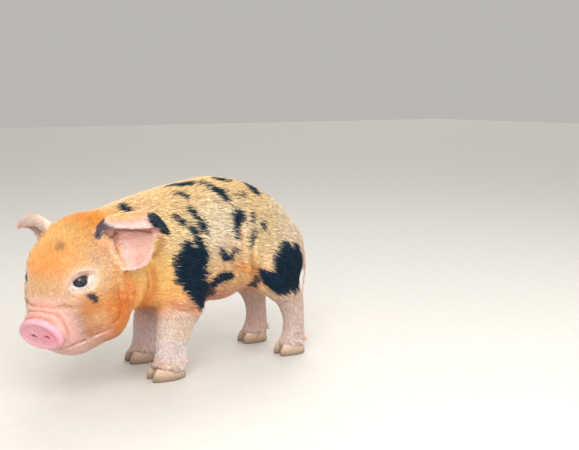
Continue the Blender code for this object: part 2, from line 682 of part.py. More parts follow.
def build():
    clear()
    head = frame_of(HEAD_YAW, HEAD_PITCH, HEAD_ROLL, DISC_AT)
    coat = material("ginger coat", (0.86, 0.50, 0.20), 0.7)
    cream = material("cream coat", (0.85, 0.66, 0.42), 0.7)
    black = material("black hair on skin", (0.03, 0.05, 0.08), 0.6)
    pink = material("bare pink skin", (0.85, 0.52, 0.48), 0.45)
    horn = material("pale horn", (0.62, 0.50, 0.40), 0.4)
    wet = material("dark wet eye", (0.02, 0.03, 0.05), 0.05)

    whole = flesh(head)
    for which, joints, cut, joint, shifts, finish in (
        ("fore", FORELEG, FORELEG_CUT, KNEE_CUT, FORE_SHIFT, {1: coat, -1: coat}),
        ("hind", HINDLEG, HINDLEG_CUT, HOCK_CUT, HIND_SHIFT, {1: black, -1: cream}),
    ):
        coronet = joints[-1]
        for side, hand in ((1, "left"), (-1, "right")):
            leg = combined(copied(whole, "leg"), leg_box(cut, side, -GAP / 2), "INTERSECT")
            largest(leg)
            place = (side * coronet[1], coronet[2] + shifts[side])
            point = Vector((0, place[1], SOLE_PLANE))
            cut_off(leg, point, Vector((0, -SOLE_SLOPE, 1)).normalized(), 0)
            level = Vector((0, 0, joint))
            lower = cut_off(copied(leg, "lower"), level, Vector((0, 0, -1)))
            cut_off(leg, level, Vector((0, 0, 1)))
            dressed(leg, f"{which}leg_{hand}_upper", finish[side])
            dressed(lower, f"{which}leg_{hand}_lower", pink)
            for number, out in (("inner", -side), ("outer", side)):
                dressed(claw("hoof", coronet, place, out), f"hoof_{which}_{hand}_{number}", horn)
                spur = combined(dewclaw("spur", coronet, place, out), swollen(lower), "DIFFERENCE")
                dressed(largest(spur), f"dewclaw_{which}_{hand}_{number}", horn)
    torso = copied(whole, "torso")
    for cut in (FORELEG_CUT, HINDLEG_CUT):
        for side in (1, -1):
            combined(torso, leg_box(cut, side, GAP / 2), "DIFFERENCE")
    largest(torso)
    bpy.data.objects.remove(whole, do_unlink=True)

    pieces = {}
    for name, ahead, behind, finish in (
        ("head", None, HEAD_CUT, coat),
        ("neck", HEAD_CUT, NECK_CUT, coat),
        ("shoulders", NECK_CUT, CHEST_CUT, cream),
        ("barrel", CHEST_CUT, LOIN_CUT, cream),
        ("hindquarters", LOIN_CUT, None, cream),
    ):
        piece = copied(torso, name)
        if ahead:
            cut_off(piece, ahead[0], -ahead[1])
        if behind:
            cut_off(piece, behind[0], behind[1])
        pieces[name] = dressed(largest(piece), name, finish)
    bpy.data.objects.remove(torso, do_unlink=True)

    skull_piece = pieces["head"]
    front = head @ Vector((DISC_RINGS[0][0] - GAP, 0, 0))
    cut_off(skull_piece, front, (head.to_3x3() @ Vector((-1, 0, 0))).normalized(), 0)
    frames = {side: eye_frame(skull_piece, head, side) for side in (1, -1)}
    combined(skull_piece, mouth(skull_piece, head), "DIFFERENCE")
    for side, hand in ((1, "left"), (-1, "right")):
        frame = frames[side]
        combined(skull_piece, ball("lids", frame.translation, EYE_RADIUS + GAP + LID), "UNION")
        combined(skull_piece, ball("socket", frame.translation, EYE_RADIUS + GAP), "DIFFERENCE")
        combined(skull_piece, lens_prism(frame, *EYE_OPENING), "DIFFERENCE")
        dressed(ball("eye", frame.translation, EYE_RADIUS), f"eye_{hand}", wet)
    dressed(largest(skull_piece), "head", coat)
    for side, hand in ((1, "left"), (-1, "right")):
        leaf = combined(ear("ear", head, side), swollen(skull_piece), "DIFFERENCE")
        dressed(largest(leaf), f"ear_{hand}", pink)
    dressed(disc(head), "snout_disc", pink)
    hanging = combined(tail(), swollen(pieces["hindquarters"]), "DIFFERENCE")
    dressed(largest(hanging), "tail", pink)

    centre_on_origin()


def centre_on_origin():
    """Moves everything so that the middle of the outline from above is at the origin."""
    things = [thing for thing in bpy.context.scene.objects if thing.type == "MESH"]
    corners = np.array([vert.co for thing in things for vert in thing.data.vertices])
    middle = (corners.min(axis=0) + corners.max(axis=0)) / 2
    shift = Matrix.Translation((-middle[0], -middle[1], 0))
    for thing in things:
        thing.data.transform(shift)


build()
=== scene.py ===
"""The piglet as the eye sees it: one skin, its coat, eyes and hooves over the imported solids.

Metres, +Z up. It faces -Y, its left side is +X, and it stands on z = 0.
"""

import math

import bmesh
import bpy
import numpy as np
from mathutils import Matrix, Vector
from mathutils.bvhtree import BVHTree


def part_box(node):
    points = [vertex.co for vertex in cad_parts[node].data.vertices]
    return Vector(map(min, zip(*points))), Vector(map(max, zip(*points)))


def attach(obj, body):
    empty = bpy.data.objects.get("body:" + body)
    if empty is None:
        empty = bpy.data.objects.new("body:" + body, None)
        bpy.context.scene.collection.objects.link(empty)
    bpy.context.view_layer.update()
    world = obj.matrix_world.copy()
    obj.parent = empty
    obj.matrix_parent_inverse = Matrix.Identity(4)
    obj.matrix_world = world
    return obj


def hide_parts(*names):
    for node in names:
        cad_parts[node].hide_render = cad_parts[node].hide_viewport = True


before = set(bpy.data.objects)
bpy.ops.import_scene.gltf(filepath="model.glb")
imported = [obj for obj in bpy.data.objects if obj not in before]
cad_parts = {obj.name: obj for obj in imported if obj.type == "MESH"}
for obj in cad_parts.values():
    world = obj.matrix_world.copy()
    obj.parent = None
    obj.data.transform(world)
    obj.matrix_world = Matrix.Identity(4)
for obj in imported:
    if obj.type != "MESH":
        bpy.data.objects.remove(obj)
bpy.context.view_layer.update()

# The camera stands to the piglet's left and ahead of it, a little above its back, and looks
# across its shoulder. Its place and focal length are those that give the photo's framing.
CAMERA_AT = Vector((0.71874129, -0.34572509, 0.26048759))
CAMERA_LOOKS = Vector((-0.82409530, 0.54557929, -0.15234883))
FOCAL_PIXELS, FRAME_PIXELS, SENSOR_MM = 850, 579, 36
bpy.ops.object.camera_add(location=CAMERA_AT, rotation=CAMERA_LOOKS.to_track_quat("-Z", "Y").to_euler())
camera = bpy.context.object
camera.data.sensor_width = SENSOR_MM
camera.data.lens = SENSOR_MM * FOCAL_PIXELS / FRAME_PIXELS
camera.data.clip_start = 0.01
bpy.context.scene.camera = camera
bpy.context.scene.view_settings.view_transform = "Standard"  # tones are shown as they are painted

# The skin is one surface over head, body, legs, ears, snout disc and tail, as on the live animal.
# Copies of the solids are swollen until their gaps close, fused, smoothed where flesh is smooth,
# and drawn in by the depth of the coat.
GAP_CLOSER = 0.00035
SKIN_VOXEL = 0.00135
SKIN_FINENESS = 0.72  # share of the fused surface's faces that is kept
SMOOTH_ROUNDS, SPREAD_ROUNDS = 40, 6
NOT_FLESH = ("eye", "hoof", "dewclaw")
HEAD_ORIGIN = np.array((0.043809, -0.143751, 0.0650))  # the middle of the snout disc
YAW, PITCH = math.radians(35), math.radians(27)
FORWARD = np.array((math.sin(YAW) * math.cos(PITCH), -math.cos(YAW) * math.cos(PITCH), -math.sin(PITCH)))
LEFTWARD = np.array((math.cos(YAW), math.sin(YAW), 0))
HEAD_AXES = np.stack((FORWARD, LEFTWARD, np.cross(FORWARD, LEFTWARD)), axis=1)
HEAD_UP = HEAD_AXES[:, 2]
EAR_LOBE_AT, EAR_LOBE_RADII = (-0.0780, 0.0285, 0.0400), (0.0062, 0.0058, 0.0080)  # in the head's frame
TRUNK_MIDDLE = (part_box("barrel")[0][0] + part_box("barrel")[1][0]) / 2
EYE_BACK = 0.0028  # how far back along the slit the ball sits from its solid's middle
EYE_LOOKS, EYE_SLIT = (0.38, 0.85, 0.36), (0.96, 0, 0.27)  # the left eye's directions in the head's frame
EAR_REACH = 0.0022  # a point this near an ear's solid belongs to the ear


def only(*things):
    """Selects these objects alone, the first of them active."""
    bpy.ops.object.select_all(action="DESELECT")
    for thing in things:
        thing.select_set(True)
    bpy.context.view_layer.objects.active = things[0]


def finished(thing, kind, **settings):
    """Adds a modifier and makes it real."""
    only(thing)
    modifier = thing.modifiers.new(kind.lower(), kind)
    for key, value in settings.items():
        setattr(modifier, key, value)
    bpy.ops.object.modifier_apply(modifier=modifier.name)
    return thing


def added(name, mesh):
    """A new object of this mesh, in the scene."""
    made = bpy.data.objects.new(name, mesh)
    bpy.context.scene.collection.objects.link(made)
    return made


def copied_solid(name, grow):
    """The solid's own shape as a new object, its points merged, swollen by this much."""
    made = added("flesh_" + name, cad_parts[name].data.copy())
    only(made)
    bpy.ops.object.mode_set(mode="EDIT")
    bpy.ops.mesh.select_all(action="SELECT")
    bpy.ops.mesh.remove_doubles(threshold=1e-6)
    bpy.ops.object.mode_set(mode="OBJECT")
    bpy.ops.mesh.customdata_custom_splitnormals_clear()
    return finished(made, "DISPLACE", strength=grow, mid_level=0)


def numbers(items, name, width, kind=float):
    """What the items of a mesh hold under this name, a row for each."""
    flat = np.empty(len(items) * width, kind)
    items.foreach_get(name, flat)
    return flat.reshape(-1, width)


def points_of(thing):
    return numbers(thing.data.vertices, "co", 3)


def normals_of(thing):
    return numbers(thing.data.vertex_normals, "vector", 3, np.float32).astype(float)


def edges_of(thing):
    return numbers(thing.data.edges, "vertices", 2, np.int32)


def put_points(thing, points):
    thing.data.vertices.foreach_set("co", points.ravel())
    thing.data.update()


def averaged(values, edges):
    """Each point's value becomes the mean of its neighbours' values."""
    values = values.reshape(len(values), -1)
    count = np.bincount(edges.ravel(), minlength=len(values))
    total = np.empty_like(values)
    for k in range(values.shape[1]):
        total[:, k] = np.bincount(edges[:, 0], values[edges[:, 1], k], len(values))
        total[:, k] += np.bincount(edges[:, 1], values[edges[:, 0], k], len(values))
    return total / np.maximum(count, 1)[:, None]


def relaxed(points, edges, strength, rounds):
    """The points, drawn round after round towards the mean of their neighbours."""
    for _ in range(rounds):
        points = points + strength * (averaged(points, edges) - points)
    return points


def ramp(value, low, high):
    """0 below low, 1 above high and smooth between. High may be the smaller."""
    share = np.clip((value - low) / (high - low), 0, 1)
    return share * share * (3 - 2 * share)


def lengths(vectors):
    return np.linalg.norm(vectors, axis=-1)


def unit(vectors):
    return vectors / np.maximum(np.linalg.norm(vectors, axis=-1, keepdims=True), 1e-9)


def moved(values, *steps):
    """The values, moved to each goal in turn by the share that follows it."""
    for goal, share in steps:
        values = values + (goal - values) * share
    return values


def to_head(points):
    return (points - HEAD_ORIGIN) @ HEAD_AXES


def from_head(points):
    return points @ HEAD_AXES.T + HEAD_ORIGIN


def on_left(points):
    """The points, with those right of the trunk's middle plane mirrored to its left."""
    mirrored = points.copy()
    mirrored[:, 0] = TRUNK_MIDDLE + np.abs(points[:, 0] - TRUNK_MIDDLE)
    return mirrored


def left_of_head(points):
    """The points in the head's frame, with those of its right half mirrored to its left."""
    mirrored = to_head(points)
    mirrored[:, 1] = np.abs(mirrored[:, 1])
    return mirrored


def head_share(ahead, above):
    """1 on the head and 0 on the body and the forelegs, which stand under it."""
    below = ramp(ahead, -0.060, -0.075) * ramp(above, -0.036, -0.046)
    return ramp(ahead, -0.125, -0.095) * (1 - below)


def eye_axes(hand, side):
    """Middle of the eyeball, and axes that look out of the eye, run along the slit and rise."""
    low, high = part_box("eye_" + hand)
    looks = unit(HEAD_AXES @ (np.array(EYE_LOOKS) * (1, side, 1)))
    along = HEAD_AXES @ np.array(EYE_SLIT)
    along = unit(along - looks * (along @ looks))
    over = np.cross(looks, along)
    over *= np.sign(over @ HEAD_UP)
    return np.array((low + high) / 2) - along * EYE_BACK, np.stack((looks, along, over), axis=1)


EYES = {hand: eye_axes(hand, side) for hand, side in (("left", 1), ("right", -1))}


ears = {}
for hand in EYES:
    mesh = bmesh.new()
    mesh.from_mesh(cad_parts["ear_" + hand].data)
    ears[hand] = BVHTree.FromBMesh(mesh)
    mesh.free()


def ear_share(points):
    """1 on the ears and 0 elsewhere."""
    share = np.zeros(len(points))
    for hand, tree in ears.items():
        low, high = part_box("ear_" + hand)
        near = np.all((points > np.array(low) - 0.003) & (points < np.array(high) + 0.003), axis=1)
        for k in np.flatnonzero(near):
            distance = tree.find_nearest(points[k], 0.01)[3]
            if distance is not None:
                share[k] = max(share[k], ramp(distance, EAR_REACH, EAR_REACH * 0.6))
    return share


flesh_nodes = [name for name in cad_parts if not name.startswith(NOT_FLESH)]
pieces = [copied_solid(name, GAP_CLOSER) for name in sorted(flesh_nodes)]
pieces += [copied_solid("eye_" + hand, GAP_CLOSER * 2) for hand in EYES]
for side in (1, -1):
    place = from_head(np.array(EAR_LOBE_AT) * (1, side, 1))
    bpy.ops.object.select_all(action="DESELECT")
    bpy.ops.mesh.primitive_uv_sphere_add(segments=24, ring_count=16, radius=1)
    lobe = bpy.context.object
    axes = Matrix(HEAD_AXES.tolist()).to_4x4()
    lobe.data.transform(Matrix.Translation(place) @ axes @ Matrix.Diagonal((*EAR_LOBE_RADII, 1)))
    pieces.append(lobe)
only(*pieces)
bpy.ops.object.join()
skin = bpy.context.object
skin.name = skin.data.name = "skin"
skin.data.materials.clear()
finished(skin, "REMESH", mode="VOXEL", voxel_size=SKIN_VOXEL)

points, edges = points_of(skin), edges_of(skin)
in_head = to_head(points)
ahead, aside, above = in_head.T
ear = ear_share(points)
head = head_share(ahead, above)
disc = ramp(lengths(in_head / (0.010, 0.024, 0.020)), 1.15, 0.9)
mouth = head * ramp(ahead, -0.050, -0.040) * ramp(above, -0.012, -0.015)
leg = ramp(points[:, 2], 0.066, 0.050)
strength = 0.5 - 0.34 * head - 0.22 * leg * (1 - head)
strength = strength * (1 - 0.9 * ear) * (1 - 0.9 * disc) * (1 - 0.75 * mouth)
for _ in range(SPREAD_ROUNDS):
    strength = averaged(strength, edges)[:, 0]
points = relaxed(points, edges, strength[:, None], SMOOTH_ROUNDS)
put_points(skin, points)
# How deep the coat is on the body, then on head, legs, ears and snout disc.
depth = moved(0.0013, (0.0009, head), (0.0007, leg * (1 - head)), (0.0003, ear), (0.0001, disc))
put_points(skin, points - normals_of(skin) * depth[:, None])
finished(skin, "DECIMATE", ratio=SKIN_FINENESS)

# Faces are finer where the lids, the snout and the nostrils are worked in. Each round cuts them
# in half once more.
EYE_ROUNDS = (0.0180, 0.0120)  # how near an eye
SNOUT_SIZE = (0.018, 0.027, 0.027)
NOSTRIL_AT, NOSTRIL_HALF = (0.0, 0.0066, -0.0020), (0.0029, 0.0018)
NOSTRIL_DEEP, NOSTRIL_REACH = 0.0046, 0.0062


def divided(thing, chosen):
    """Cuts in half every edge between two chosen points."""
    mesh = bmesh.new()
    mesh.from_mesh(thing.data)
    mesh.verts.ensure_lookup_table()
    cut = [e for e in mesh.edges if chosen[e.verts[0].index] and chosen[e.verts[1].index]]
    bmesh.ops.subdivide_edges(mesh, edges=cut, cuts=1, use_grid_fill=True)
    bmesh.ops.triangulate(mesh, faces=[face for face in mesh.faces if len(face.verts) > 4])
    mesh.to_mesh(thing.data)
    mesh.free()


for radius in EYE_ROUNDS:
    points = points_of(skin)
    divided(skin, np.any([lengths(points - middle) < radius for middle, _ in EYES.values()], axis=0))
divided(skin, lengths(to_head(points_of(skin)) / SNOUT_SIZE) < 1)
divided(skin, lengths(left_of_head(points_of(skin)) - NOSTRIL_AT) < NOSTRIL_REACH)

# Lids, folds and furrows are moved into the skin as a thumb would in clay. Each furrow has its
# width, its depth and the way points where it runs, all in millimetres, in the head's frame.
HEAD_FURROWS = (
    ("behind the disc", 1.3, 1.6, (-5.6, 0, 14.3), (-5.6, 9.1, 13.1), (-5.2, 14.6, 8.8), (-4.7, 18, 0.9),
     (-4, 19, -6), (-4.5, 12, -14), (-5, 0, -16.5)),
    ("bridge fold", 1.4, 1.5, (-10.2, 0, 17.1), (-10.1, 5.7, 16.8), (-11.5, 12.9, 14.9),
     (-11.2, 17.9, 9.3), (-10.4, 20.4, 1.6), (-8.7, 19.8, -7.9)),
    ("upper bridge fold", 1.6, 1.4, (-13.3, 0, 19.6), (-14.5, 11.4, 18.2), (-18.8, 18.2, 17.8),
     (-22.1, 24, 12.5)),
    ("third bridge fold", 1.8, 0.8, (-20, 0, 26.5), (-20.5, 9, 26.2), (-24, 16, 24)),
    ("side of the muzzle", 1.6, 0.8, (-15, 21.5, 4), (-16.5, 21.5, -6), (-19, 21.5, -14)),
    ("cheek crease", 3.4, 2.2, (-78.4, 40.1, 10.7), (-75.4, 41, -1.1), (-69.9, 41.2, -13.5)),
    ("jowl line", 3, 1.2, (-61.3, 40.9, 2.4), (-58.8, 41.6, -12.1), (-50, 40, -18.5),
     (-40.3, 37.6, -19.3)),
    ("corner of the mouth", 2.2, 1, (-40, 34, -17), (-44, 37, -12), (-46, 38, -6)),
    ("ear hole", 2, 3.4, (-90.2, 35, 42.4), (-88.6, 32.9, 37), (-83.2, 33.9, 33)),
    ("brow", 1.8, 0.7, (-37.4, 14.5, 44.4), (-43.2, 20.7, 44.7), (-48.2, 27.9, 40.5), (-51.4, 33.3, 33.3)),
    ("under the eye", 1.8, 0.6, (-25.7, 19.3, 27.1), (-26.8, 24.3, 21.4), (-35.7, 30.9, 20.5)),
    ("under the ear", 2.2, 1.4, (-83, 39.5, 24), (-80, 42, 14), (-86, 43, 11)),
)
# Soft swellings: how wide, how high and where they run.
HEAD_SWELLINGS = (
    ("front rim of the ear", 2.6, 2, (-80, 32.5, 38), (-77, 35.4, 30.9), (-76, 38.3, 21.6), (-79, 41, 14)),
    ("roll above the disc", 1.7, 0.7, (-8, 0, 15.5), (-8.2, 9, 14.2), (-8, 16.5, 9), (-7.5, 19.5, 0.5)),
    ("bag under the eye", 3, 0.6, (-30, 23, 23), (-39, 31, 20)),
)
# Furrows of the body, in its own frame.
BODY_FURROWS = (
    ("jowl", 4.5, 2.8, (33.2, -43.2, 110.8), (29.5, -38.3, 90.4), (14.9, -43.1, 69.6)),
    ("second neck fold", 3.4, 1.4, (34, -56, 106), (31, -52, 86), (18, -56, 68)),
    ("rib fold", 3, 1.4, (36.2, 48.3, 140), (37.1, 48.6, 115.5), (31.8, 52.5, 91.1)),
    ("flank fold", 3.4, 2.2, (35.8, 58.1, 118), (31.7, 63.7, 97.6), (27.3, 69.7, 84.3)),
    ("fore rib fold", 2.8, 1.2, (36.9, 37.1, 130.9), (37.1, 38.8, 111.8), (32.9, 45.3, 91.2)),
    ("stifle", 5, 3, (33, 70, 100), (30.5, 74.5, 84.3), (28.5, 79.1, 74.4)),
    ("elbow", 3, 1.2, (30, -25, 74), (38, -14.2, 68.6), (35.5, 7.5, 66.9)),
)
EYEBALL = 0.0068
EYE_HALF, EYE_SHAPE = (0.0067, 0.0045), 1.9  # half the slit's length and height, and its squareness
LID_THICK, LID_ROLL, LID_CREASE, CREASE_DEEP, SOCKET_DEEP = 0.0007, 1.20, 1.72, 0.0007, 0.0024
DISC_HALF, DISC_RIM, DISC_GROOVE = (0.0205, 0.0150), 0.0006, 0.0005
MOUTH_BACK, MOUTH_LEVEL, MOUTH_DROP, MOUTH_TURN = 0.030, -0.0185, 0.0050, math.radians(112)
MOUTH_DEEP, MOUTH_WIDE = 0.0018, 0.0010
LIP_HIGH, LIP_WIDE, LIP_BELOW = 0.0007, 0.0018, 0.0028
NOSTRIL_RIM, NOSTRIL_BENT = 0.0008, 0.0007


def bell(value, width):
    """1 at zero, falling away to both sides over about this width."""
    return np.exp(-((value / width) ** 2))


def off_slit(along, over):
    """How far out from the middle of an eye's opening, 1 on its edge."""
    far, high = np.abs(along / EYE_HALF[0]), np.abs(over / EYE_HALF[1])
    return (far**EYE_SHAPE + high**EYE_SHAPE) ** (1 / EYE_SHAPE)


def eye_spread(points):
    """How far a point lies from the middle of the nearer eye, 1 on the edge of its opening."""
    spread = np.full(len(points), 99.0)
    for middle, axes in EYES.values():
        out, along, over = ((points - middle) @ axes).T
        spread = np.where(out > 0, np.minimum(spread, off_slit(along, over)), spread)
    return spread


def metres(millimetres):
    return np.array(millimetres) / 1000


def off_path(points, stops):
    """Each point's distance from a path, and the path's width beside it, each stop's fourth number."""
    stops = np.pad(metres(stops), ((0, 0), (0, 4 - len(stops[0]))))
    nearest, width = np.full(len(points), 9.0), np.ones(len(points))
    for start, end in zip(stops[:-1], stops[1:]):
        along = end[:3] - start[:3]
        share = np.clip((points - start[:3]) @ along / (along @ along), 0, 1)
        distance = lengths(points - start[:3] - share[:, None] * along)
        here = start[3] + (end[3] - start[3]) * share
        closer = distance - here < nearest - width
        nearest, width = np.where(closer, distance, nearest), np.where(closer, here, width)
    return nearest, width


def furrow(points, stops, width, depth):
    """A groove between two low swellings that fades at its free ends, as a height for each point."""
    distance = off_path(points, stops)[0]
    path = metres(stops)
    fade = 1.0
    for end, inner in ((path[0], path[1]), (path[-1], path[-2])):
        if end[1]:  # an end on the head's middle plane meets its mirror image and doesn't fade
            inwards = (points - end) @ unit(inner - end)
            near = lengths(points - end) < 5 * width
            fade = fade * np.where(near, ramp(inwards, -width, 2 * width), 1.0)
    return depth * (0.32 * bell(distance - 2.2 * width, 1.1 * width) - bell(distance, width)) * fade


points, normals = points_of(skin), normals_of(skin)
ahead, aside, above = to_head(points).T
half_head, half_trunk = left_of_head(points), on_left(points)
height = np.zeros(len(points))
for furrows, where in ((HEAD_FURROWS, half_head), (BODY_FURROWS, half_trunk)):
    for _, width, deep, *stops in furrows:
        height += furrow(where, stops, *metres((width, deep)))
for _, width, high, *stops in HEAD_SWELLINGS:
    height += metres(high) * bell(off_path(half_head, stops)[0], metres(width))
turn = np.arctan2(np.abs(aside), ahead + MOUTH_BACK) / MOUTH_TURN
over_mouth = above - MOUTH_LEVEL + MOUTH_DROP * turn**2
mouth_share = ramp(turn, 1.0, 0.85) * ((ahead > -0.055) & (above < 0))
mouth = mouth_share * bell(over_mouth, MOUTH_WIDE)
height += LIP_HIGH * mouth_share * bell(over_mouth + LIP_BELOW, LIP_WIDE) - MOUTH_DEEP * mouth
rim = np.hypot(aside / DISC_HALF[0], above / DISC_HALF[1])
on_disc = ramp(ahead, -0.0030, -0.0012)
height += on_disc * (DISC_RIM * bell(rim - 0.86, 0.10) - DISC_GROOVE * bell(aside, 0.0016))
nostril = np.zeros(len(points))
for side in (1, -1):
    across = (aside - side * NOSTRIL_AT[1]) / NOSTRIL_HALF[0]
    over = (above - NOSTRIL_AT[2] - NOSTRIL_BENT * np.cos(2 * across)) / NOSTRIL_HALF[1]
    far = np.hypot(across, over)
    height += on_disc * NOSTRIL_RIM * bell(far - 1.55, 0.35)
    nostril = np.maximum(nostril, on_disc * ramp(far, 1.12, 0.72))
creased = ramp(-height, 0.0002, 0.0011)
points += normals * height[:, None] - np.outer(nostril * NOSTRIL_DEEP, FORWARD)
for middle, axes in EYES.values():
    local = (points - middle) @ axes
    reach = np.hypot(local[:, 1], local[:, 2])
    near = np.flatnonzero((local[:, 0] > -0.001) & (reach < 0.016))
    out, along, over = local[near].T
    spread = off_slit(along, over)
    ball = np.sqrt(np.maximum(EYEBALL**2 - np.minimum(reach[near], EYEBALL * 0.96) ** 2, 0))
    margin, inside = ball + LID_THICK, ball - SOCKET_DEEP
    lid = np.where(spread < 1, inside + (margin - inside) * ramp(spread, 0.90, 1.0), margin)
    crease = CREASE_DEEP * bell(spread - LID_CREASE, 0.16) * np.where(over > 0, 1, 0.5)
    local[near, 0] = lid + (out - lid) * ramp(spread, LID_ROLL, 2.1) - crease
    points[near] = local[near] @ axes.T + middle
put_points(skin, points)
skin.data.shade_smooth()

# Where things lie on the skin, kept as numbers for each point: head, ear, leg and so on.
points, normals = points_of(skin), normals_of(skin)
x, y, z = points.T
ahead, aside, above = to_head(points).T
half_head = left_of_head(points)
ear = ear_share(points)
head = head_share(ahead, above)
disc = np.maximum(ramp(ahead, -0.0052, -0.0034) * head, nostril)
muzzle = ramp(ahead, -0.026, -0.012) * head
lip = ramp(ahead, -0.045, -0.030) * ramp(above, -0.014, -0.024) * head
leg = ramp(z, 0.075, 0.055) * (1 - head)
foot = ramp(z, 0.030, 0.012)
tail = ramp(y, 0.1440, 0.1475)
belly = ramp(z, 0.088, 0.076) * ramp(np.abs(x - TRUNK_MIDDLE), 0.036, 0.026) * (1 - head)
spread = eye_spread(points)
EAR_HOLE = ((-89.5, 34.5, 41), (-84, 33.5, 33.5))
off_hole = off_path(half_head, EAR_HOLE)[0]

# Tones of the coat by place, as a painter would set them out: the head's in its own frame and
# mirrored, then the body's. Each holds its place and how far it carries, in millimetres.
HEAD_TONES = (
    ("snout disc", (0, 0, 0), 12, "#e1b2c0"),
    ("disc side", (0, 16, 0), 10, "#cf9fb2"),
    ("bridge", (-10, 5, 17), 10, "#d5ab9d"),
    ("upper bridge", (-22, 4, 32), 10, "#d5b37d"),
    ("side of the muzzle", (-14, 20, 2), 12, "#b0917e"),
    ("chin", (-12, 12, -26), 14, "#b4afaf"),
    ("jaw", (-30, 26, -24), 14, "#c67443"),
    ("face", (-26, 20, 24), 13, "#e2c09e"),
    ("forehead", (-40, 4, 47), 18, "#f2a055"),
    ("crown", (-90, 4, 55), 30, "#df841d"),
    ("upper forehead", (-65, 10, 54), 20, "#e3b66b"),
    ("temple", (-60, 30, 38), 16, "#ecc59f"),
    ("high forehead", (-63, 3, 56), 12, "#e8c18a"),
    ("front of the forehead", (-43, 12, 49), 9, "#f2b878"),
    ("nape", (-115, 17, 47), 16, "#ecba6a"),
    ("lower cheek", (-31, 31, 9), 9, "#d18242"),
    ("jaw corner", (-34, 33, -9), 8, "#dfc198"),
    ("above the jowl", (-66, 41, 5), 10, "#f6c98f"),
    ("beside the eye", (-48, 36, 19), 12, "#e9c99c"),
    ("eye", (-36, 28, 29), 9, "#ecc6a6"),
    ("cheek", (-45, 38, -4), 16, "#e5a058"),
    ("jowl", (-62, 41, -8), 18, "#d8671d"),
    ("throat", (-72, 38, -24), 18, "#f6b26b"),
    ("under the jaw", (-50, 0, -50), 30, "#dfa27c"),
    ("behind the cheek", (-90, 40, 0), 18, "#fcd287"),
)
BODY_TONES = (
    ("neck top", (9, -38, 164), 26, "#e7c392"),
    ("neck side", (34, -35, 120), 26, "#f5c886"),
    ("neck low", (30, -38, 90), 22, "#f39130"),
    ("before the shoulder", (32, -24, 127), 13, "#f6dab4"),
    ("arm top", (36, -21, 75), 9, "#f4ccb6"),
    ("outer forearm", (38, -14, 48), 10, "#f4c9a6"),
    ("shoulder", (35, -12, 135), 26, "#ecd2a0"),
    ("withers", (10, 0, 172), 26, "#e8c38a"),
    ("ribs", (36, 32, 140), 34, "#efe2cd"),
    ("low ribs", (36, 34, 102), 22, "#e7b578"),
    ("back", (10, 55, 174), 34, "#e8c287"),
    ("loin", (30, 80, 140), 30, "#e0c189"),
    ("flank", (33, 60, 94), 18, "#fcd590"),
    ("belly", (12, 40, 72), 24, "#d39a80"),
    ("rump", (22, 110, 135), 30, "#f3e2d2"),
    ("buttock", (20, 135, 110), 26, "#dcb896"),
    ("thigh", (34, 110, 90), 24, "#e0bc94"),
    ("elbow", (37, -10, 78), 14, "#dd9050"),
    ("chest", (10, -50, 75), 24, "#dd8a4c"),
    ("forearm", (36, -18, 58), 16, "#fcebdd"),
    ("knee", (36, -18, 34), 18, "#fceae7"),
    ("fore foot", (34, -20, 8), 14, "#e8d0c8"),
    ("gaskin", (30, 115, 60), 18, "#e2cbbe"),
    ("hind cannon", (28, 125, 34), 20, "#e2cdc5"),
    ("hind foot", (28, 122, 8), 14, "#e4cac2"),
    ("tail", (0, 152, 80), 20, "#ddcac4"),
)
